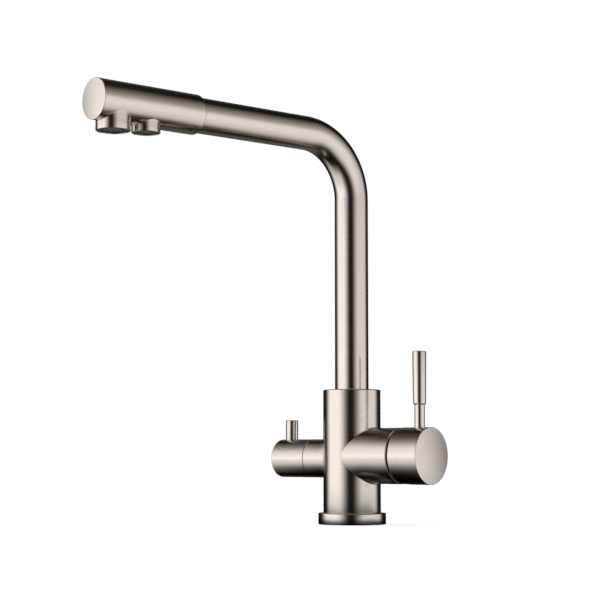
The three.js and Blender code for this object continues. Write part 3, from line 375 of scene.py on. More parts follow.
class Surface:
    """Grids of points that together make one closed piece."""

    def __init__(self):
        self.points = []
        self.lines = []
        self.faces = []
        self.count = 0

    def grid(self, axis, local, closed=True, skip=None, lines=None):
        """Adds rows of points; neighbours in neighbouring rows share a face of four sides.

        Closed rows join their ends. Skip marks the faces that are left out.
        """
        rows, columns = local.shape[:2]
        index = self.count + np.arange(rows * columns).reshape(rows, columns)
        if closed:
            index = np.concatenate([index, index[:, :1]], axis=1)
        quads = np.stack([index[:-1, :-1], index[:-1, 1:], index[1:, 1:], index[1:, :-1]], axis=-1)
        quads = quads.reshape(-1, 4) if skip is None else quads[~skip]
        lines = brush_lines(local) if lines is None else lines
        self.points.append(axis.place(local).reshape(-1, 3))
        self.lines.append(np.reshape(lines, (-1, 3)))
        self.faces.extend(quads.tolist())
        self.count += rows * columns

    def turn(self, axis, outline, count=ROUND, shaped=None):
        """Adds an outline carried all the way round an axis."""
        local = turned(outline, ring(count))
        self.grid(axis, shaped(local) if shaped else local)

    def flat(self, axis, loops):
        """Adds a flat face: the first loop of local points is its outside, and the others are holes."""
        points = np.concatenate(loops)
        triangles = tessellate_polygon([loop.tolist() for loop in loops])
        self.points.append(axis.place(points))
        self.lines.append(brush_lines(points))
        self.faces.extend([[self.count + n for n in triangle] for triangle in triangles])
        self.count += len(points)

    def new_object(self, name):
        """An object of the grids as they are, in the scene."""
        mesh = bpy.data.meshes.new(name)
        mesh.from_pydata(np.concatenate(self.points).tolist(), [], self.faces)
        made = bpy.data.objects.new(name, mesh)
        bpy.context.scene.collection.objects.link(made)
        return made

    def piece(self, name, body, slot, *nodes):
        """Makes the object, welds its grids, points its faces outward and puts it on its body."""
        made = self.new_object(name)
        mesh = made.data
        corners = np.empty(len(mesh.loops), int)
        mesh.loops.foreach_get("vertex_index", corners)
        attribute = mesh.attributes.new("brush_lines", "FLOAT_VECTOR", "CORNER")
        attribute.data.foreach_set("vector", np.concatenate(self.lines)[corners].ravel())
        shape = bmesh.new()
        shape.from_mesh(mesh)
        bmesh.ops.remove_doubles(shape, verts=shape.verts, dist=WELD)
        loose = [point for point in shape.verts if not point.link_faces]
        bmesh.ops.delete(shape, geom=loose, context="VERTS")
        open_edges = sum(len(edge.link_faces) != 2 for edge in shape.edges)
        if open_edges:
            raise RuntimeError(f"{name} has {open_edges} open or shared edges")
        bmesh.ops.recalc_face_normals(shape, faces=shape.faces)
        shape.to_mesh(mesh)
        shape.free()
        mesh.polygons.foreach_set("use_smooth", np.ones(len(mesh.polygons), bool))
        mesh.set_sharp_from_angle(angle=SHARP)
        mesh.materials.append(bpy.data.materials[slot])
        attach(made, body)
        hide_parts(*nodes)


def branch_angles():
    """Angles around a branch: an even quarter turn for each side of the rectangle around its foot."""
    wide = ROUND // 2
    steps = np.tile(np.repeat([1 / wide, 1 / UPRIGHT], [wide, UPRIGHT]), 2)
    return (np.cumsum(steps) - steps - 0.5) * QUARTER


def junction(surface, axis, host, radius, centre, band, fillet, outline):
    """Half of a round bar between two heights, with a branch that leaves it at a right angle.

    The rows run from the rectangle around the half bar, over its skin, to the line that a ball of the
    fillet's radius touches while it rolls in the crease. The ball's own arc follows, and then the
    branch: its outline of (radius, distance) carried round the branch's axis.
    """
    wide = ROUND // 2
    low, high = band
    across = np.linspace(-QUARTER, QUARTER, wide + 1)
    down = np.linspace(high, low, UPRIGHT + 1)
    left, right = np.full(UPRIGHT, -QUARTER), np.full(UPRIGHT, QUARTER)
    bearing = np.concatenate([across[:-1], right, across[:0:-1], left])
    height = np.concatenate([np.full(wide, high), down[:-1], np.full(wide, low), down[:0:-1]])
    around = branch_angles()
    sine, cosine = np.sin(around), np.cos(around)

    ball_side = (radius + fillet) * sine
    ball_up = np.sqrt((host + fillet) ** 2 - ball_side**2)
    ball = np.stack([ball_up, ball_side, centre + (radius + fillet) * cosine], axis=-1)
    touch = np.arctan2(ball_side, ball_up)
    shares = np.linspace(0, 1, SKIN_ROWS)[:, None]
    skin_bearing = bearing + (touch - bearing) * shares
    skin_height = height + (ball[:, 2] - height) * shares
    skin = [host * np.cos(skin_bearing), host * np.sin(skin_bearing), skin_height]
    surface.grid(axis, np.stack(skin, axis=-1))

    to_host = -fillet * np.stack([np.cos(touch), np.sin(touch), 0 * touch], axis=-1)
    to_branch = -fillet * np.stack([0 * sine, sine, cosine], axis=-1)
    crease = ball + arc(to_host, to_branch, np.linspace(0, 1, ARC_POINTS))
    branch = turned(outline, around)[..., [2, 1, 0]] + (0, 0, centre)
    rows = np.concatenate([crease, branch])
    from_branch = np.stack([rows[..., 2] - centre, rows[..., 1], rows[..., 0]], axis=-1)
    surface.grid(axis, rows, lines=brush_lines(from_branch))


def plain_half(surface, axis, host, band):
    """The half of a round bar that faces away from a junction of the same band."""
    heights = np.linspace(band[1], band[0], UPRIGHT + 1)
    bearings = np.linspace(QUARTER, 3 * QUARTER, ROUND // 2 + 1)
    surface.grid(axis, turned([(host, height) for height in heights], bearings), closed=False)


class Hole:
    """A round hole across a turned wall, and the outline of its inside from the wall inward.

    The margin says how many rows of the wall around the hole make room for it.
    """

    def __init__(self, bearing, at, radius, inside, margin):
        self.bearing = bearing
        self.at = at
        self.radius = radius
        self.inside = inside
        self.margin = margin


def blind(bearing, at, radius, floor, margin=5):
    """A hole that keeps its width down to a flat floor."""
    return Hole(bearing, at, radius, [(radius, floor), (0, floor)], margin)


class PiercedWall:
    """A round wall along an axis with round holes across it.

    Near each hole the square rings of the wall's grid are blended into circles on the wall: the points
    of the innermost ring lie on the hole's edge, and the faces inside it are left out.
    """

    def __init__(self, axis, radius, holes, spacing, count=ROUND, shaped=lambda local: local):
        self.axis = axis
        self.radius = radius
        self.holes = holes
        self.spacing = spacing
        self.count = count
        self.shaped = shaped

    def cells(self, hole):
        """How many rows of the wall lie between a hole's middle and its edge."""
        return round(hole.radius / self.spacing)

    def rows(self, start, end):
        """Distances of the wall's rows: evenly spaced past all holes, and then straight to both ends."""
        first = self.holes[0].at
        low = min(hole.at - (self.cells(hole) + hole.margin) * self.spacing for hole in self.holes)
        high = max(hole.at + (self.cells(hole) + hole.margin) * self.spacing for hole in self.holes)
        steps = np.arange(round((low - first) / self.spacing), round((high - first) / self.spacing) + 1)
        rows = first + steps * self.spacing
        inner = rows[(rows > start + self.spacing / 4) & (rows < end - self.spacing / 4)]
        return np.concatenate([[start], inner, [end]])

    def build(self, surface, start, end):
        """Adds the wall between two distances, and the inside of each hole."""
        step = TURN / self.count
        angles, along = np.broadcast_arrays(ring(self.count), self.rows(start, end)[:, None])
        bent_angles, bent_along = angles.copy(), along.copy()
        skip = np.zeros((len(along) - 1, self.count), bool)
        for hole in self.holes:
            cells = self.cells(hole)
            outer = cells + hole.margin
            off = (angles - hole.bearing + np.pi) % TURN - np.pi
            column, row = off / step, (along - hole.at) / self.spacing
            reach = np.maximum(abs(column), abs(row))
            side, far = self.radius * np.sin(off), along - hole.at
            length = np.maximum(np.hypot(side, far), WELD)
            blend = np.clip((reach - cells) / hole.margin, 0, 1)
            circle = hole.radius + (outer * self.spacing - hole.radius) * blend
            pull = blend + (1 - blend) * circle / length
            near = (reach < outer - WELD) & (abs(off) < QUARTER)
            moved = hole.bearing + np.arcsin(np.clip(side * pull / self.radius, -1, 1))
            bent_angles = np.where(near, moved, bent_angles)
            bent_along = np.where(near, hole.at + far * pull, bent_along)
            middle_row = (row[:-1] + row[1:]) / 2
            skip |= np.maximum(abs(column[:-1] + 0.5), abs(middle_row)) < cells
            self.lining(surface, hole)
        cosine, sine = np.cos(bent_angles), np.sin(bent_angles)
        local = np.stack([self.radius * cosine, self.radius * sine, bent_along], axis=-1)
        surface.grid(self.axis, self.shaped(local), skip=skip)

    def mouth(self, hole):
        """Side and distance of the points around a hole's edge, from its middle."""
        cells = self.cells(hole)
        edge = np.arange(-cells, cells)
        full = np.full(2 * cells, cells)
        column = np.concatenate([edge, full, -edge, -full])
        row = np.concatenate([full, -edge, -full, edge])
        side = self.radius * np.sin(column * TURN / self.count)
        far = row * self.spacing
        length = np.hypot(side, far)
        return side / length, far / length

    def lining(self, surface, hole):
        """Adds a hole's inside: rows of (radius, height over the wall's axis) below its edge."""
        side, far = self.mouth(hole)
        edge = np.sqrt(self.radius**2 - (hole.radius * side) ** 2)
        rows = [np.stack([edge, hole.radius * side, hole.radius * far], axis=-1)]
        rows += [
            np.stack([np.full_like(side, height), radius * side, radius * far], axis=-1)
            for radius, height in hole.inside
        ]
        cosine, sine = np.cos(hole.bearing), np.sin(hole.bearing)
        turn = np.array([[cosine, sine, 0], [-sine, cosine, 0], [0, 0, 1]])
        local = np.stack(rows) @ turn + (0, 0, hole.at)
        surface.grid(self.axis, np.concatenate([self.shaped(local[:1]), local[1:]]))


# ---------------------------------------------------------------- finishes


class Value:
    """A socket of a node, or what an expression on sockets gives; numbers join in as they are."""

    def __init__(self, nodes, socket):
        self.nodes = nodes
        self.socket = socket

    def __add__(self, other):
        return self.nodes.math("ADD", self, other)

    def __radd__(self, other):
        return self.nodes.math("ADD", other, self)

    def __sub__(self, other):
        return self.nodes.math("SUBTRACT", self, other)

    def __rsub__(self, other):
        return self.nodes.math("SUBTRACT", other, self)

    def __mul__(self, other):
        return self.nodes.math("MULTIPLY", self, other)

    def __rmul__(self, other):
        return self.nodes.math("MULTIPLY", other, self)

    def smooth(self, start, end):
        """0 before start, 1 after end, and a smooth step between them; start may be the higher one."""
        settings = {"interpolation_type": "SMOOTHSTEP"}
        inputs = {"Value": self, "From Min": start, "From Max": end}
        return self.nodes.add("ShaderNodeMapRange", settings, inputs)


class Nodes:
    """The node tree of a finish or of the studio's light."""

    def __init__(self, tree):
        self.tree = tree
        tree.nodes.clear()

    def add(self, kind, settings=None, inputs=None, output=0):
        """A new node with its settings made first, then the values or links of its inputs."""
        node = self.tree.nodes.new(kind)
        for name, value in (settings or {}).items():
            setattr(node, name, value)
        for name, value in (inputs or {}).items():
            if isinstance(value, Value):
                self.tree.links.new(value.socket, node.inputs[name])
            else:
                node.inputs[name].default_value = value
        return Value(self, node.outputs[output]) if node.outputs else None

    def math(self, operation, *values):
        """One Math node on sockets or numbers."""
        return self.add("ShaderNodeMath", {"operation": operation}, dict(enumerate(values)))

    def noise(self, places, scale=1.0, detail=2.0):
        """Noise from 0 to 1 over some places."""
        return self.add("ShaderNodeTexNoise", {}, {"Vector": places, "Scale": scale, "Detail": detail})

    def mix(self, factor, first, second):
        """A colour between two, in linear light."""
        inputs = {0: factor, 6: (*first, 1), 7: (*second, 1)}
        return self.add("ShaderNodeMix", {"data_type": "RGBA"}, inputs, output=2)

    def stretched(self, places, factors):
        """Places multiplied by a number in each direction."""
        return self.add("ShaderNodeVectorMath", {"operation": "MULTIPLY"}, {0: places, 1: factors})

    def principled(self, height, depth, strength, **inputs):
        """The shader that ends a finish, with a bump of that depth."""
        bump = {"Strength": strength, "Distance": depth, "Height": height}
        named = {key.replace("_", " ").title(): value for key, value in inputs.items()}
        named["Normal"] = self.add("ShaderNodeBump", {}, bump)
        shader = self.add("ShaderNodeBsdfPrincipled", {}, named)
        self.add("ShaderNodeOutputMaterial", {}, {"Surface": shader})


def new_finish(slot):
    """An empty material under its slot's name, which a packed one gives up."""
    packed = bpy.data.materials.get(slot)
    if packed:
        packed.name = f"{slot}_packed"
    material = bpy.data.materials.new(slot)
    material.use_nodes = True
    return Nodes(material.node_tree)


def brushed_nickel(slot, settings):
    """Satin nickel with fine lines around each turned piece, broader streaks and a faint cloudiness.

    A stretch's first factor is the number of waves to the metre across the lines, the others are along them.
    """
    nodes = new_finish(slot)
    lines = nodes.add("ShaderNodeAttribute", {"attribute_name": "brush_lines"}, output="Vector")
    places = nodes.add("ShaderNodeTexCoord", output="Object")
    fine = nodes.noise(nodes.stretched(lines, (3200, 2.2, 2.2)))
    streaks = nodes.noise(nodes.stretched(lines, (620, 1.1, 1.1)))
    clouds = nodes.noise(places, scale=22.0, detail=3.0)
    mark = fine * 0.45 + streaks * 0.35 + clouds * 0.2
    nodes.principled(
        height=fine * 0.6 + streaks * 0.4,
        depth=0.0006 * MM,
        strength=0.15,
        base_color=nodes.mix(mark.smooth(0.28, 0.72), settings.nickel_line, settings.nickel),
        roughness=settings.sheen - 0.07 + fine * 0.05 + streaks * 0.05 + clouds * 0.04,
        metallic=1.0,
    )


def turned_metal(slot, tint, roughness):
    """Plain machined metal: fine tool marks and a slow drift of tone."""
    nodes = new_finish(slot)
    places = nodes.add("ShaderNodeTexCoord", output="Object")
    marks = nodes.noise(nodes.stretched(places, (2600, 500, 2600)))
    clouds = nodes.noise(places, scale=60.0, detail=3.0)
    nodes.principled(
        height=marks,
        depth=0.01 * MM,
        strength=0.4,
        base_color=nodes.mix((marks * 0.4 + clouds * 0.6).smooth(0.3, 0.7), darker(tint, 0.78), tint),
        roughness=roughness - 0.08 + marks * 0.1 + clouds * 0.08,
        metallic=1.0,
    )


def moulded(slot, tint, roughness, grain, depth, coat):
    """Plastic, rubber or ceramic: a mould's grain, slightly uneven gloss and tone."""
    nodes = new_finish(slot)
    places = nodes.add("ShaderNodeTexCoord", output="Object")
    fine = nodes.noise(places, scale=grain, detail=3.0)
    clouds = nodes.noise(places, scale=90.0)
    nodes.principled(
        height=fine,
        depth=depth,
        strength=0.5,
        base_color=nodes.mix((fine * 0.4 + clouds * 0.6).smooth(0.3, 0.7), darker(tint, 0.85), tint),
        roughness=roughness - 0.08 + fine * 0.09 + clouds * 0.07,
        coat_weight=coat,
    )


def darker(tint, amount):
    """A colour times a number."""
    return tuple(channel * amount for channel in tint)


# ---------------------------------------------------------------- the pieces


class TAP_OT_finishes(Operator):
    """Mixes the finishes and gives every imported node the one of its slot"""

    bl_idname = "tap.finishes"
    bl_label = "Finishes"

    def execute(self, context):
        settings = context.scene.tap_finish
        brushed_nickel("nickel", settings)
        turned_metal("brass", settings.brass, roughness=0.34)
        turned_metal("steel", settings.steel, roughness=0.3)
        for slot, roughness, grain, depth, coat in (
            ("rubber", 0.72, 1500, 0.03 * MM, 0),
            ("ceramic", 0.22, 900, 0.004 * MM, 0.4),
            ("acetal", 0.46, 1200, 0.01 * MM, 0),
            ("grey_plastic", 0.5, 1300, 0.015 * MM, 0),
            ("black_plastic", 0.42, 1300, 0.015 * MM, 0),
        ):
            moulded(slot, getattr(settings, slot), roughness, grain, depth, coat)
        for part in frame["record"]["subparts"]:
            materials = frame["nodes"][part["node"]].data.materials
            materials.clear()
            materials.append(bpy.data.materials[part["material_slot"]])
        return {"FINISHED"}


class TAP_OT_body(Operator):
    """Body: a foot, an upright column with a branch on each side, its seats and its threaded holes"""

    bl_idname = "tap.body"
    bl_label = "Body"

    def execute(self, context):
        s = context.scene.tap_body
        surface = Surface()
        radius, top = BODY.high[1], BODY.high[2]
        ledge = FLANGE.high[2] + FIT
        stub = HANDLE_RADIUS - s.stub_step
        room = stub + s.crease + 1 * MM
        band = (MIXER_HEIGHT - room, MIXER_HEIGHT + room)

        sole = s.foot - 1 * MM
        lower = [(sole, 0, 0), (s.foot, 0, 0.3 * MM), (s.foot, ledge, 0), (radius, ledge, 0.4 * MM)]
        surface.turn(COLUMN, rounded([*lower, (radius, band[0], 0)]))
        self.foot(surface, s, sole)

        clear_of_column = radius + 2 * MM
        for axis, height, branch, end, edge, bore, bore_edge in (
            (COLUMN, MIXER_HEIGHT, stub, BODY.high[0], s.stub_edge, s.cartridge_bore, 0.3 * MM),
            (COLUMN_LEFT, FILTER_HEIGHT, KNOB_RADIUS, -BODY.low[0], 0.3 * MM, s.headwork_bore, 0.4 * MM),
        ):
            outline = [(branch, clear_of_column, 0), (branch, end, edge), (bore, end, bore_edge)]
            outline = rounded([*outline, (bore, s.seat, 0), (0, s.seat, 0)])
            junction(surface, axis, radius, branch, height, band, s.crease, outline)

        stop_radius, stop_floor = STOP_SCREW.high[0] + FIT, SWIVEL_BORE + 0.2 * MM
        stop = blind(QUARTER, STOP_SCREW.middle[2], stop_radius, stop_floor, margin=1)
        shoulder = top - 2 * s.edge
        PiercedWall(COLUMN, radius, [stop], stop_radius / 4).build(surface, band[1], shoulder)
        swivel_floor = SPIGOT.low[2] - FIT
        filtered, filtered_floor = HIDDEN_TUBE.high[0] + FIT, HIDDEN_TUBE.low[2] - FIT
        gland, gland_floor = filtered + 1.3 * MM, swivel_floor - 2.5 * MM
        surface.turn(COLUMN, rounded([
            (radius, shoulder, 0), (radius, top, s.edge),
            (SWIVEL_BORE, top, 0.25 * MM), (SWIVEL_BORE, swivel_floor, 0),
            (gland, swivel_floor, 0), (gland, gland_floor, 0),
            (filtered, gland_floor, 0), (filtered, filtered_floor, 0), (0, filtered_floor, 0),
        ]))
        surface.piece("tap_body", "tap_body", "nickel", "body_column")
        return {"FINISHED"}

    @staticmethod
    def foot(surface, s, sole):
        """The sole, with three threaded hose inlets and two threaded holes for the fixing studs."""
        angles = ring(SMALL_ROUND)
        inlet = (s.inlet_circle, s.inlet_radius, s.inlet_depth)
        stud = (s.stud_circle, s.stud_radius, s.stud_depth)
        places = [(*inlet, turn) for turn in (-s.inlet_angle, s.inlet_angle, np.pi)]
        places += [(*stud, turn) for turn in (-s.stud_angle, s.stud_angle)]
        loops = [turned([(sole, 0)], ring(ROUND))[0]]
        for circle, radius, depth, turn in places:
            x, y = circle * np.cos(turn), circle * np.sin(turn)
            axis = Axis((x, y, 0), UP, RIGHT)
            rows = [(radius, 0)]
            rows += thread(radius, s.thread, s.pitch, 0.4 * MM, depth - s.pitch, angles)
            rows += [(radius - s.thread, depth), (0, depth)]
            surface.turn(axis, rows, SMALL_ROUND)
            loops.append(turned([(radius, 0)], angles)[0] + (x, y, 0))
        surface.flat(COLUMN, loops)


class TAP_OT_base_flange(Operator):
    """Base flange: a turned ring under the body's ledge, with a groove for its seal"""

    bl_idname = "tap.base_flange"
    bl_label = "Base flange"

    def execute(self, context):
        s = context.scene.tap_body
        surface = Surface()
        radius, height = FLANGE.high[0], FLANGE.high[2]
        groove_in, groove_out = s.seal_middle - s.seal_width / 2, s.seal_middle + s.seal_width / 2
        surface.turn(COLUMN, rounded([
            (s.flange_bore, 0, 0),
            (groove_in, 0, 0), (groove_in, s.seal_depth, 0),
            (groove_out, s.seal_depth, 0), (groove_out, 0, 0),
            (radius, 0, 0.5 * MM), (radius, height, s.flange_edge),
            (s.flange_bore, height, 0), (s.flange_bore, 0, 0),
        ]))
        surface.piece("base_ring", "tap_body", "nickel", "base_flange")
        return {"FINISHED"}


class TAP_OT_trim_ring(Operator):
    """Trim ring: the collar inside the end of the mixer branch"""

    bl_idname = "tap.trim_ring"
    bl_label = "Trim ring"

    def execute(self, context):
        surface = Surface()
        start, end, radius = TRIM.low[0], TRIM.high[0], TRIM.high[1]
        bore = 12.8 * MM
        surface.turn(MIXER, rounded([
            (bore, start, 0), (radius, start, 0.2 * MM),
            (radius, end, 0.4 * MM), (bore, end, 0.4 * MM), (bore, start, 0),
        ]))
        surface.piece("mixer_collar", "tap_body", "nickel", "trim_ring")
        return {"FINISHED"}


class TAP_OT_mixer_handle(Operator):
    """Mixer handle: a drum with a flat face, hollow behind its rim, with holes for lever and screw"""

    bl_idname = "tap.mixer_handle"
    bl_label = "Mixer handle"

    def execute(self, context):
        s = context.scene.tap_handle
        surface = Surface()
        radius, start, end = HANDLE_RADIUS, HANDLE.low[0], HANDLE.high[0]

        def relieved(local):
            """Holds the underside up to the relief: a level flat that slopes back to the round."""
            along = start + s.relief_flat + s.relief_slope - local[..., 2]
            lowest = s.relief * np.clip(along / s.relief_slope, 0, 1) - radius
            return np.stack([np.maximum(local[..., 0], lowest), local[..., 1], local[..., 2]], axis=-1)

        skirt = radius - s.skirt
        rim_end = start + 1.5 * MM
        shoulder = end - 2 * s.face_edge
        rim = rounded([(skirt, start, 0), (radius, start, s.rim), (radius, rim_end, 0)])
        surface.turn(MIXER, rim, shaped=relieved)

        screw_floor = MIXER_HEIGHT - HANDLE_SCREW.high[2] + 0.1 * MM
        holes = [
            blind(0, LEVER.middle[0], s.stem + FIT, radius - s.socket - FIT),
            blind(np.pi, HANDLE_SCREW.middle[0], HANDLE_SCREW.high[1] + FIT, screw_floor),
        ]
        spacing = (holes[0].at - holes[1].at) / 7  # a row lies in the middle of each hole
        PiercedWall(MIXER, radius, holes, spacing, shaped=relieved).build(surface, rim_end, shoulder)
        surface.turn(MIXER, rounded([(radius, shoulder, 0), (radius, end, s.face_edge), (0, end, 0)]))

        square = sided(ring(ROUND), 4, SPINDLE.high[1] * 2 + 2 * FIT)
        floor, boss_start = start + s.cavity, start + s.boss_back
        socket_end = SPINDLE.high[0] + FIT
        surface.turn(MIXER, [
            (skirt, start), (skirt, floor),
            (s.boss, floor), (s.boss, boss_start),
            (square, boss_start), (square, socket_end), (0, socket_end),
        ])
        surface.piece("mixer_drum", "mixer_lever_handle", "nickel", "mixer_handle")
        return {"FINISHED"}


class TAP_OT_mixer_lever(Operator):
    """Mixer lever: a slim stem in the handle and a thicker grip that widens toward its top"""

    bl_idname = "tap.mixer_lever"
    bl_label = "Mixer lever"

    def execute(self, context):
        s = context.scene.tap_handle
        surface = Surface()
        at = LEVER.middle[0]
        foot = HANDLE_RADIUS - s.socket
        shoulder = HANDLE_RADIUS + s.stem_shown
        top, grip = LEVER.high[2] - MIXER_HEIGHT, LEVER.high[1]
        outline = rounded([
            (0, foot, 0), (s.stem, foot, 0.3 * MM), (s.stem, shoulder - s.shoulder, 0.3 * MM),
            (s.grip_foot, shoulder, s.grip_round / 2), (grip, top, s.grip_edge), (0, top, 0),
        ])
        surface.turn(Axis((at, 0, MIXER_HEIGHT), UP, RIGHT), outline, ROUND // 2)
        surface.piece("pin_lever", "mixer_lever_handle", "nickel", "mixer_lever")
        return {"FINISHED"}


class TAP_OT_filter_knob(Operator):
    """Filter knob: a drum with a rounded end, hollow behind its rim, with holes for pin and screw"""

    bl_idname = "tap.filter_knob"
    bl_label = "Filter knob"

    def execute(self, context):
        s = context.scene.tap_knob
        surface = Surface()
        radius, start, end = KNOB_RADIUS, -KNOB.high[0], -KNOB.low[0]
        rim_end, shoulder = start + 1 * MM, end - 1.3 * s.edge
        rim = [(s.cavity_radius, start, 0), (radius, start, s.rim), (radius, rim_end, 0)]
        surface.turn(FILTER, rounded(rim))

        seat = radius - s.pin_sunk - FIT
        stud_floor = PIN.low[2] - FILTER_HEIGHT - FIT
        pin_hole = PIN.high[1] + FIT
        stud_hole = s.pin_stud + FIT
        screw_floor = FILTER_HEIGHT - KNOB_SCREW.high[2] + 0.1 * MM
        pin_inside = [(pin_hole, seat), (stud_hole, seat), (stud_hole, stud_floor), (0, stud_floor)]
        holes = [
            Hole(0, -PIN.middle[0], pin_hole, pin_inside, margin=5),
            blind(np.pi, -KNOB_SCREW.middle[0], KNOB_SCREW.high[1] + FIT, screw_floor),
        ]
        spacing = (holes[0].at - holes[1].at) / 21  # a row lies in the middle of each hole
        PiercedWall(FILTER, radius, holes, spacing).build(surface, rim_end, shoulder)
        surface.turn(FILTER, rounded([(radius, shoulder, 0), (radius, end, s.edge), (0, end, 0)], points=9))

        floor, bore_end = start + s.cavity, -FILTER_SPINDLE.low[0] + FIT
        inside = [(s.cavity_radius, start), (s.cavity_radius, floor), (s.spline, floor), (s.spline, bore_end)]
        surface.turn(FILTER, [*inside, (0, bore_end)])
        surface.piece("filter_drum", "filter_handle", "nickel", "filter_knob")
        return {"FINISHED"}


class TAP_OT_filter_pin(Operator):
    """Filter pin: a short round pin that stands on the knob, on a stud"""

    bl_idname = "tap.filter_pin"
    bl_label = "Filter pin"

    def execute(self, context):
        s = context.scene.tap_knob
        surface = Surface()
        at = PIN.middle[0]
        foot, top, radius = PIN.low[2] - FILTER_HEIGHT, PIN.high[2] - FILTER_HEIGHT, PIN.high[1]
        seat = KNOB_RADIUS - s.pin_sunk
        outline = rounded([
            (0, foot, 0), (s.pin_stud, foot, 0.3 * MM), (s.pin_stud, seat, 0),
            (radius, seat, 0.2 * MM), (radius, top, s.pin_edge), (0, top, 0),
        ])
        surface.turn(Axis((at, 0, FILTER_HEIGHT), UP, RIGHT), outline, ROUND // 2)
        surface.piece("knob_pin", "filter_handle", "nickel", "filter_pin")
        return {"FINISHED"}


class TAP_OT_grub_screws(Operator):
    """Grub screws: the stop screw behind the column and the screws under the handle and the knob"""

    bl_idname = "tap.grub_screws"
    bl_label = "Grub screws"

    def execute(self, context):
        (radius, head, _), tip_end = STOP_SCREW.high, STOP_SCREW.low[1]
        tip_radius, start = 1.0 * MM, SWIVEL_BORE + FIT
        tip = [(0, tip_end, 0), (tip_radius, tip_end, 0.2 * MM), (tip_radius, start, 0)]
        axis = Axis((0, 0, STOP_SCREW.middle[2]), (0, 1, 0), UP)
        self.screw("stop_screw", "tap_body", "spout_stop_screw", axis, radius, head, tip, start)
        for name, body, node, box, height in (
            ("handle_screw", "mixer_lever_handle", "mixer_handle_screw", HANDLE_SCREW, MIXER_HEIGHT),
            ("knob_screw", "filter_handle", "filter_knob_screw", KNOB_SCREW, FILTER_HEIGHT),
        ):
            tip = height - box.high[2] + 0.2 * MM
            axis = Axis((box.middle[0], 0, height), DOWN, RIGHT)
            self.screw(name, body, node, axis, box.high[1], height - box.low[2], [(0, tip, 0)], tip)
        return {"FINISHED"}

    @staticmethod
    def screw(name, body, node, axis, radius, head, tip, start):
        """A threaded rod from its tip to a head with a hexagon socket."""
        surface = Surface()
        angles = ring(SMALL_ROUND)
        core, pitch, ridge, plain = radius * 0.9, 0.7 * MM, 0.25 * MM, 0.4 * MM
        socket, floor = sided(angles, 6, radius * 0.87), head - (head - start) * 0.4
        rows = rounded([*tip, (radius * 0.8, start, 0), (core, start + 0.2 * MM, 0)])
        rows += thread(radius, ridge, pitch, start + plain, head - plain, angles)
        rows += [(core, head), (socket * 1.1, head), (socket, head - 0.15 * MM)]
        rows += [(socket, floor), (0, floor)]
        surface.turn(axis, rows, SMALL_ROUND)
        surface.piece(name, body, "steel", node)


class TAP_OT_spout_tube(Operator):
    """Spout tube: straight up, a quarter round, then straight to the front, with its bore"""

    bl_idname = "tap.spout_tube"
    bl_label = "Spout tube"

    def execute(self, context):
        s = context.scene.tap_spout
        surface = Surface()
        centres, inward, lengths = self.path(s)
        angles = ring(SMALL_ROUND * 2)
        bore = TUBE_RADIUS - s.wall
        skin = self.sweep(centres, inward, TUBE_RADIUS, angles)
        inside = self.sweep(centres, inward, bore, angles)[::-1]
        rows = np.concatenate([skin, inside, skin[:1]])
        runs = np.concatenate([lengths, lengths[::-1] + s.wall, lengths[:1] - s.wall])
        columns = np.broadcast_arrays(runs[:, None], np.cos(angles), np.sin(angles))
        surface.grid(COLUMN, rows, lines=np.stack(columns, axis=-1))
        surface.piece("spout_pipe", "spout", "nickel", "spout_tube")
        return {"FINISHED"}

    @staticmethod
    def path(s):
        """Points of the middle line, the way to the inside of the bend there, and the length so far.

        Up the riser the lean is 0 and along the arm it is a quarter turn; in the bend the middle line
        is its centre less the bend's radius times the inward way.
        """
        foot, spring = TUBE.low[2], ARM_HEIGHT - s.bend
        lean = np.linspace(0, QUARTER, BEND_POINTS)[:, None]
        bend_inward = np.cos(lean) * FORWARD + np.sin(lean) * np.array(DOWN)
        centre = FORWARD * s.bend + (0, 0, spring)
        riser = np.array([[0, 0, z] for z in np.linspace(foot, spring, STRAIGHT + 1)[:-1]])
        reaches = np.linspace(s.bend, s.tube_end, STRAIGHT + 1)[1:]
        arm = [FORWARD * reach + (0, 0, ARM_HEIGHT) for reach in reaches]
        centres = np.concatenate([riser, centre - s.bend * bend_inward, arm])
        inward = np.concatenate([[FORWARD] * STRAIGHT, bend_inward, [DOWN] * STRAIGHT])
        gaps = np.linalg.norm(np.diff(centres, axis=0), axis=1)
        return centres, inward, np.concatenate([[0], np.cumsum(gaps)])

    @staticmethod
    def sweep(centres, inward, radius, angles):
        """The section at each point: centre + radius (cos a inward + sin a sideways)."""
        across = np.cos(angles)[:, None] * inward[:, None, :] + np.sin(angles)[:, None] * SIDEWAYS
        return centres[:, None, :] + radius * across


def nozzle_sizes(s, name):
    """Reach, radius, rim, pocket's roof and throat of one nozzle, by the name of its water."""
    return [getattr(s, f"{name}_{part}") for part in ("at", "radius", "drop", "roof", "throat")]


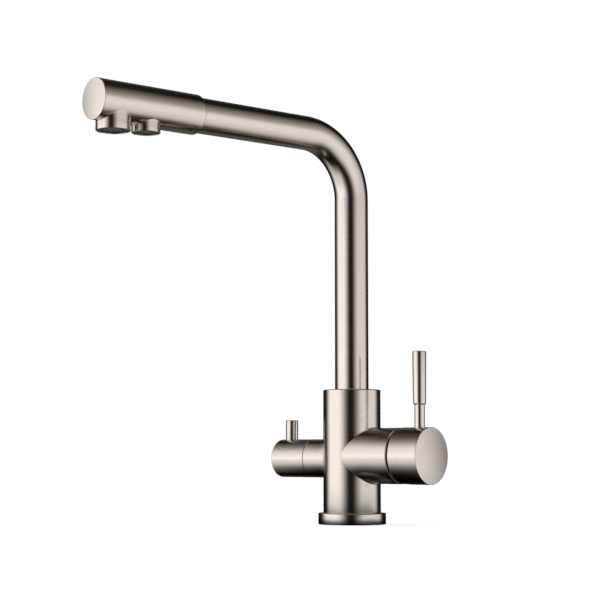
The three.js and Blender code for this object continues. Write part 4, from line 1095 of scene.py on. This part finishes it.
class TAP_OT_spout_head(Operator):
    """Spout head: a drum over the tube's end, hollow, with a nozzle below for each kind of water"""

    bl_idname = "tap.spout_head"
    bl_label = "Spout head"

    def execute(self, context):
        s = context.scene.tap_spout
        surface = Surface()
        radius, end = s.head_radius, s.head_end
        halfway = (s.filter_at + s.filter_radius + s.main_at - s.main_radius) / 2
        behind = 2 * s.filter_at - halfway
        ahead = 2 * s.main_at - halfway
        socket = SWIVEL_BORE
        mouth = 0.3 * MM  # flat ring around each throat
        nozzles = (
            (*nozzle_sizes(s, "filter"), (behind, halfway)),
            (*nozzle_sizes(s, "main"), (halfway, ahead)),
        )

        lip, lip_end = TUBE_RADIUS + 0.1 * MM, s.head_start + 1 * MM
        surface.turn(ARM, rounded([
            (socket, lip_end, 0), (lip, lip_end, 0),
            (lip, s.head_start, 0), (lip + 0.1 * MM, s.head_start, 0),
            (radius, s.head_start + s.chamfer, 0.2 * MM), (radius, behind, 0),
        ]))
        holes = []
        for at, nozzle, drop, roof, throat, band in nozzles:
            pocket = nozzle - s.nozzle_wall
            junction(surface, ARM, radius, nozzle, at, band, s.crease, rounded([
                (nozzle, radius + 1 * MM, 0), (nozzle, drop, s.nozzle_edge),
                (pocket, drop, 0.25 * MM), (pocket, roof, 0), (throat + mouth, roof, 0),
            ]))
            plain_half(surface, ARM, radius, band)
            holes.append(Hole(0, at, throat, [(throat, roof)], margin=2))
        surface.turn(ARM, rounded([(radius, ahead, 0), (radius, end, s.edge), (0, end, 0)]))

        chamber_start, chamber_end = s.tube_end + FIT, end - s.end_wall
        surface.turn(ARM, [(socket, lip_end), (socket, chamber_start)])
        outer = turned([(socket, chamber_start)], ring(ROUND))[0]
        inner = turned([(s.chamber, chamber_start)], ring(SMALL_ROUND))[0]
        surface.flat(ARM, [outer, inner])
        spacing = (s.main_at - s.filter_at) / 24  # a row lies in the middle of each throat
        wall = PiercedWall(ARM, s.chamber, holes, spacing, SMALL_ROUND)
        wall.build(surface, chamber_start, chamber_end)
        surface.turn(ARM, [(s.chamber, chamber_end), (0, chamber_end)], SMALL_ROUND)
        around = branch_angles()
        for hole, (at, _, _, roof, throat, _) in zip(holes, nozzles):
            loops = []
            for edge, side, far in (
                (throat + mouth, np.sin(around), np.cos(around)),
                (throat, *wall.mouth(hole)),
            ):
                level = np.full_like(side, roof)
                loops.append(np.stack([level, edge * side, at + edge * far], axis=-1))
            surface.flat(ARM, loops)
        surface.piece("spout_end", "spout", "nickel", "spout_head")
        return {"FINISHED"}


class TAP_OT_outlets(Operator):
    """Outlets: in each nozzle a ring with key notches around a honeycomb of fine cells"""

    bl_idname = "tap.outlets"
    bl_label = "Outlets"

    def execute(self, context):
        spout = context.scene.tap_spout
        for name in ("main", "filter"):
            at, radius, drop, roof, _ = nozzle_sizes(spout, name)
            axis = Axis(FORWARD * at + (0, 0, ARM_HEIGHT), DOWN, FORWARD)
            outer = radius - spout.nozzle_wall - FIT
            self.outlet(context.scene.tap_outlet, name, axis, outer, drop, roof)
        return {"FINISHED"}

    def outlet(self, s, name, axis, outer, drop, roof):
        """One ring and its insert, between the pocket's roof and the nozzle's rim."""
        start, end = roof + s.washer, drop - s.recess
        inner = outer - s.ring_wall
        lip_start = end - s.lip_height
        angles = ring(ROUND)
        notches = np.clip(4 * np.cos(s.teeth * angles), -1, 1)
        lip = inner - s.lip + s.tooth * (0.5 + 0.5 * notches)
        edge, lip_edge = 0.15 * MM, 0.1 * MM
        surface = Surface()
        surface.turn(axis, [
            (inner, start), (outer, start),
            (outer, end - edge), (outer - edge, end),
            (lip + lip_edge, end), (lip, end - lip_edge),
            (lip, lip_start), (inner, lip_start), (inner, start),
        ])
        surface.piece(f"{name}_outlet_ring", "spout", "black_plastic", f"{name}_aerator_ring")
        self.honeycomb(s, name, axis, inner - FIT, start + FIT, lip_start - FIT)

    @staticmethod
    def honeycomb(s, name, axis, radius, start, end):
        """A plate with a rim, and on it hexagonal tubes in rows that are shifted by half a cell."""
        surface = Surface()
        rim, gap = 0.6 * MM, 0.01 * MM  # wall around the plate, and room around each tube
        floor, inside = end - s.cell_depth, radius - rim
        plate = [(0, start), (radius, start), (radius, end), (inside, end), (inside, floor), (0, floor)]
        surface.turn(axis, plate)
        half = int(radius / s.cell) + 1
        column, row = np.meshgrid(np.arange(-half, half + 1), np.arange(-half, half + 1))
        up = (column + row / 2).ravel() * s.cell
        side = row.ravel() * s.cell * np.sqrt(3) / 2
        angles = np.arange(6) * TURN / 6 + TURN / 12
        outer = s.cell / np.sqrt(3) - gap
        hollow = (s.cell - s.cell_wall) / np.sqrt(3)
        kept = np.hypot(up, side) + outer < inside
        foot, top = floor + 0.05 * MM, end - 0.1 * MM
        tube = turned([(hollow, foot), (outer, foot), (outer, top), (hollow, top), (hollow, foot)], angles)
        for place in np.stack([up, side, 0 * up], axis=-1)[kept]:
            surface.grid(axis, tube + place)
        surface.piece(f"{name}_outlet_insert", "spout", "grey_plastic", f"{name}_aerator_insert")


# ---------------------------------------------------------------- the stage

NEAR_RADIUS, GROUND_RADIUS, DOME_RADIUS = 0.4, 3.0, 3.2
NEAREST, FARTHEST = 0.01, 20  # what the camera sees
WHITE = (1.0, 1.0, 1.0, 1)


def between(value, start, end):
    """A smooth step of an angle between two numbers of degrees."""
    return value.smooth(np.radians(start), np.radians(end))


def studio_light(s):
    """Light of the studio: a soft box on each side, and weaker ones behind and above.

    Bearings are counted from the camera's own, in degrees. Each box is a product of smooth steps, times
    a level that changes with the elevation, and its outer edge leans. A faint light from everywhere is
    added, and dim light is a little warmer than bright light.
    """
    world = bpy.data.worlds.new("studio")
    world.use_nodes = True
    bpy.context.scene.world = world
    nodes = Nodes(world.node_tree)
    direction = nodes.add("ShaderNodeTexCoord", output="Generated")
    split = nodes.add("ShaderNodeSeparateXYZ", {}, {0: direction})
    x, y, z = (Value(nodes, socket) for socket in split.socket.node.outputs)
    camera_bearing = np.arctan2(s.camera[1], s.camera[0])
    bearing = nodes.math("WRAP", nodes.math("ARCTAN2", y, x) - camera_bearing, np.pi, -np.pi)
    elevation = nodes.math("ARCSINE", z)

    lean = nodes.math("ABSOLUTE", elevation) * 0.55
    left = between(bearing + lean, -126, -92) * between(bearing, -12, -57) * between(elevation, -68, -30)
    left_level = between(elevation, 61, 16) * 0.85 + between(elevation, 16, 3) * 0.15
    left_level = left_level - between(elevation, 0, -24) * 0.25
    lean = nodes.math("MINIMUM", elevation, 0.17) * 0.2  # up to about 10 degrees
    right = between(bearing, 3, 46) * between(bearing + lean, 127, 99) * between(elevation, -70, -31)
    right_level = between(elevation, 66, -8) * 0.65 + between(elevation, 24, 0) * 0.35
    behind = between(nodes.math("ABSOLUTE", bearing), 154, 174) * between(elevation, 60, 20)
    above = between(elevation, 60, 78)

    boxes = left * left_level + right * right_level * s.right + behind * s.back + above * s.top
    strength = boxes * s.light + s.fill
    colour = nodes.mix(strength.smooth(0.1, 0.9), (1.0, 0.96, 0.86), (1.0, 0.995, 0.985))
    background = nodes.add("ShaderNodeBackground", {}, {"Color": colour, "Strength": strength})
    nodes.add("ShaderNodeOutputWorld", {}, {"Surface": background})


class TAP_OT_stage(Operator):
    """Stage: a pale floor, a painted ground shadow that only reflections see, a white backdrop all round,
    soft studio light and the camera
    """

    bl_idname = "tap.stage"
    bl_label = "Stage"

    def execute(self, context):
        s = context.scene.tap_stage
        studio_light(s)
        # the second is a painted ground shadow that only reflections see
        floor, table, dome = self.floor(s), self.mirrored_table(s), self.dome()

        camera = bpy.data.objects.new("camera", bpy.data.cameras.new("camera"))
        camera.location = s.camera
        camera.rotation_euler = (QUARTER + s.rise, 0, s.heading)
        camera.data.lens = s.lens
        camera.data.clip_start, camera.data.clip_end = NEAREST, FARTHEST
        context.scene.collection.objects.link(camera)
        context.scene.camera = camera
        context.scene.view_settings.view_transform = "Standard"
        return {"FINISHED"}

    def floor(self, s):
        """The white ground, which neither reflections nor shadows see."""
        made, nodes = self.surround("floor", self.disc(-0.2 * MM))
        grain = nodes.noise(nodes.add("ShaderNodeTexCoord", output="Object"), scale=40.0)
        nodes.principled(
            height=grain,
            depth=0.05 * MM,
            strength=0.1,
            base_color=nodes.mix(grain, darker(s.floor, 0.99), s.floor),
            roughness=0.9,
            emission_color=WHITE,
            emission_strength=s.floor_light,
        )
        made.visible_glossy = made.visible_shadow = False
        return made

    def mirrored_table(self, s):
        """What the metal reflects for a ground: a painted shadow, a dark oval around the tap that clears
        farther out.
        """
        made, nodes = self.surround("mirrored_table", self.disc(-0.4 * MM))
        places = nodes.add("ShaderNodeTexCoord", output="Object")
        stretch, shift = (0.55, 1, 1), (7 * MM, 0, 0)
        inputs = {0: places, 1: stretch, 2: shift}
        oval = nodes.add("ShaderNodeVectorMath", {"operation": "MULTIPLY_ADD"}, inputs)
        distance = nodes.add("ShaderNodeVectorMath", {"operation": "LENGTH"}, {0: oval}, output=1)
        # painted shadow of the ground: dark near the tap, clear farther out
        near = distance.smooth(s.table * 0.15, s.table)
        far = distance.smooth(s.table * 0.6, s.table * 5)
        # a black sheet that stands in for the ground's shadow in reflections
        dark = nodes.add("ShaderNodeEmission", {}, {"Strength": 0.0})
        clear = nodes.add("ShaderNodeBsdfTransparent")
        mixed = nodes.add("ShaderNodeMixShader", {}, {0: near * 0.82 + far * 0.18, 1: dark, 2: clear})
        nodes.add("ShaderNodeOutputMaterial", {}, {"Surface": mixed})
        made.visible_camera = made.visible_diffuse = False
        return made

    def dome(self):
        """The white all round, which only the camera sees."""
        lean = np.linspace(-QUARTER, QUARTER, BEND_POINTS)
        outline = DOME_RADIUS * np.stack([np.cos(lean), np.sin(lean)], axis=-1)
        made, nodes = self.surround("backdrop", outline, SMALL_ROUND)
        light = nodes.add("ShaderNodeEmission", {}, {"Color": WHITE, "Strength": 1.0})
        nodes.add("ShaderNodeOutputMaterial", {}, {"Surface": light})
        for ray in ("glossy", "diffuse", "transmission", "shadow"):
            setattr(made, f"visible_{ray}", False)
        return made

    @staticmethod
    def disc(height):
        """Outline of a disc: a small one with a wide ring around it."""
        return [(0, height), (NEAR_RADIUS, height), (GROUND_RADIUS, height)]

    @staticmethod
    def surround(name, outline, count=ROUND):
        """An outline turned about the column as an object, and the nodes of its own finish."""
        surface = Surface()
        surface.turn(COLUMN, outline, count)
        made = surface.new_object(name)
        finish = f"{name}_finish"
        nodes = new_finish(finish)
        made.data.materials.append(bpy.data.materials[finish])
        return made, nodes


# ---------------------------------------------------------------- panel and main

OPERATORS = (
    TAP_OT_finishes,
    TAP_OT_body,
    TAP_OT_base_flange,
    TAP_OT_trim_ring,
    TAP_OT_mixer_handle,
    TAP_OT_mixer_lever,
    TAP_OT_filter_knob,
    TAP_OT_filter_pin,
    TAP_OT_grub_screws,
    TAP_OT_spout_tube,
    TAP_OT_spout_head,
    TAP_OT_outlets,
    TAP_OT_stage,
)


class TAP_PT_panel(Panel):
    """Lists the steps that build the tap"""

    bl_label = "Tap"
    bl_idname = "TAP_PT_panel"
    bl_space_type = "VIEW_3D"
    bl_region_type = "UI"
    bl_category = "Tap"

    def draw(self, context):
        for operator in OPERATORS:
            self.layout.operator(operator.bl_idname)


def register():
    for name, group in SETTINGS.items():
        bpy.utils.register_class(group)
        setattr(bpy.types.Scene, name, PointerProperty(type=group))
    for kind in (*OPERATORS, TAP_PT_panel):
        bpy.utils.register_class(kind)


def unregister():
    for kind in (TAP_PT_panel, *reversed(OPERATORS)):
        bpy.utils.unregister_class(kind)
    for name, group in reversed(SETTINGS.items()):
        delattr(bpy.types.Scene, name)
        bpy.utils.unregister_class(group)


def main():
    register()
    for operator in OPERATORS:
        getattr(bpy.ops.tap, operator.bl_idname.split(".")[1])()


if __name__ == "__main__":
    main()
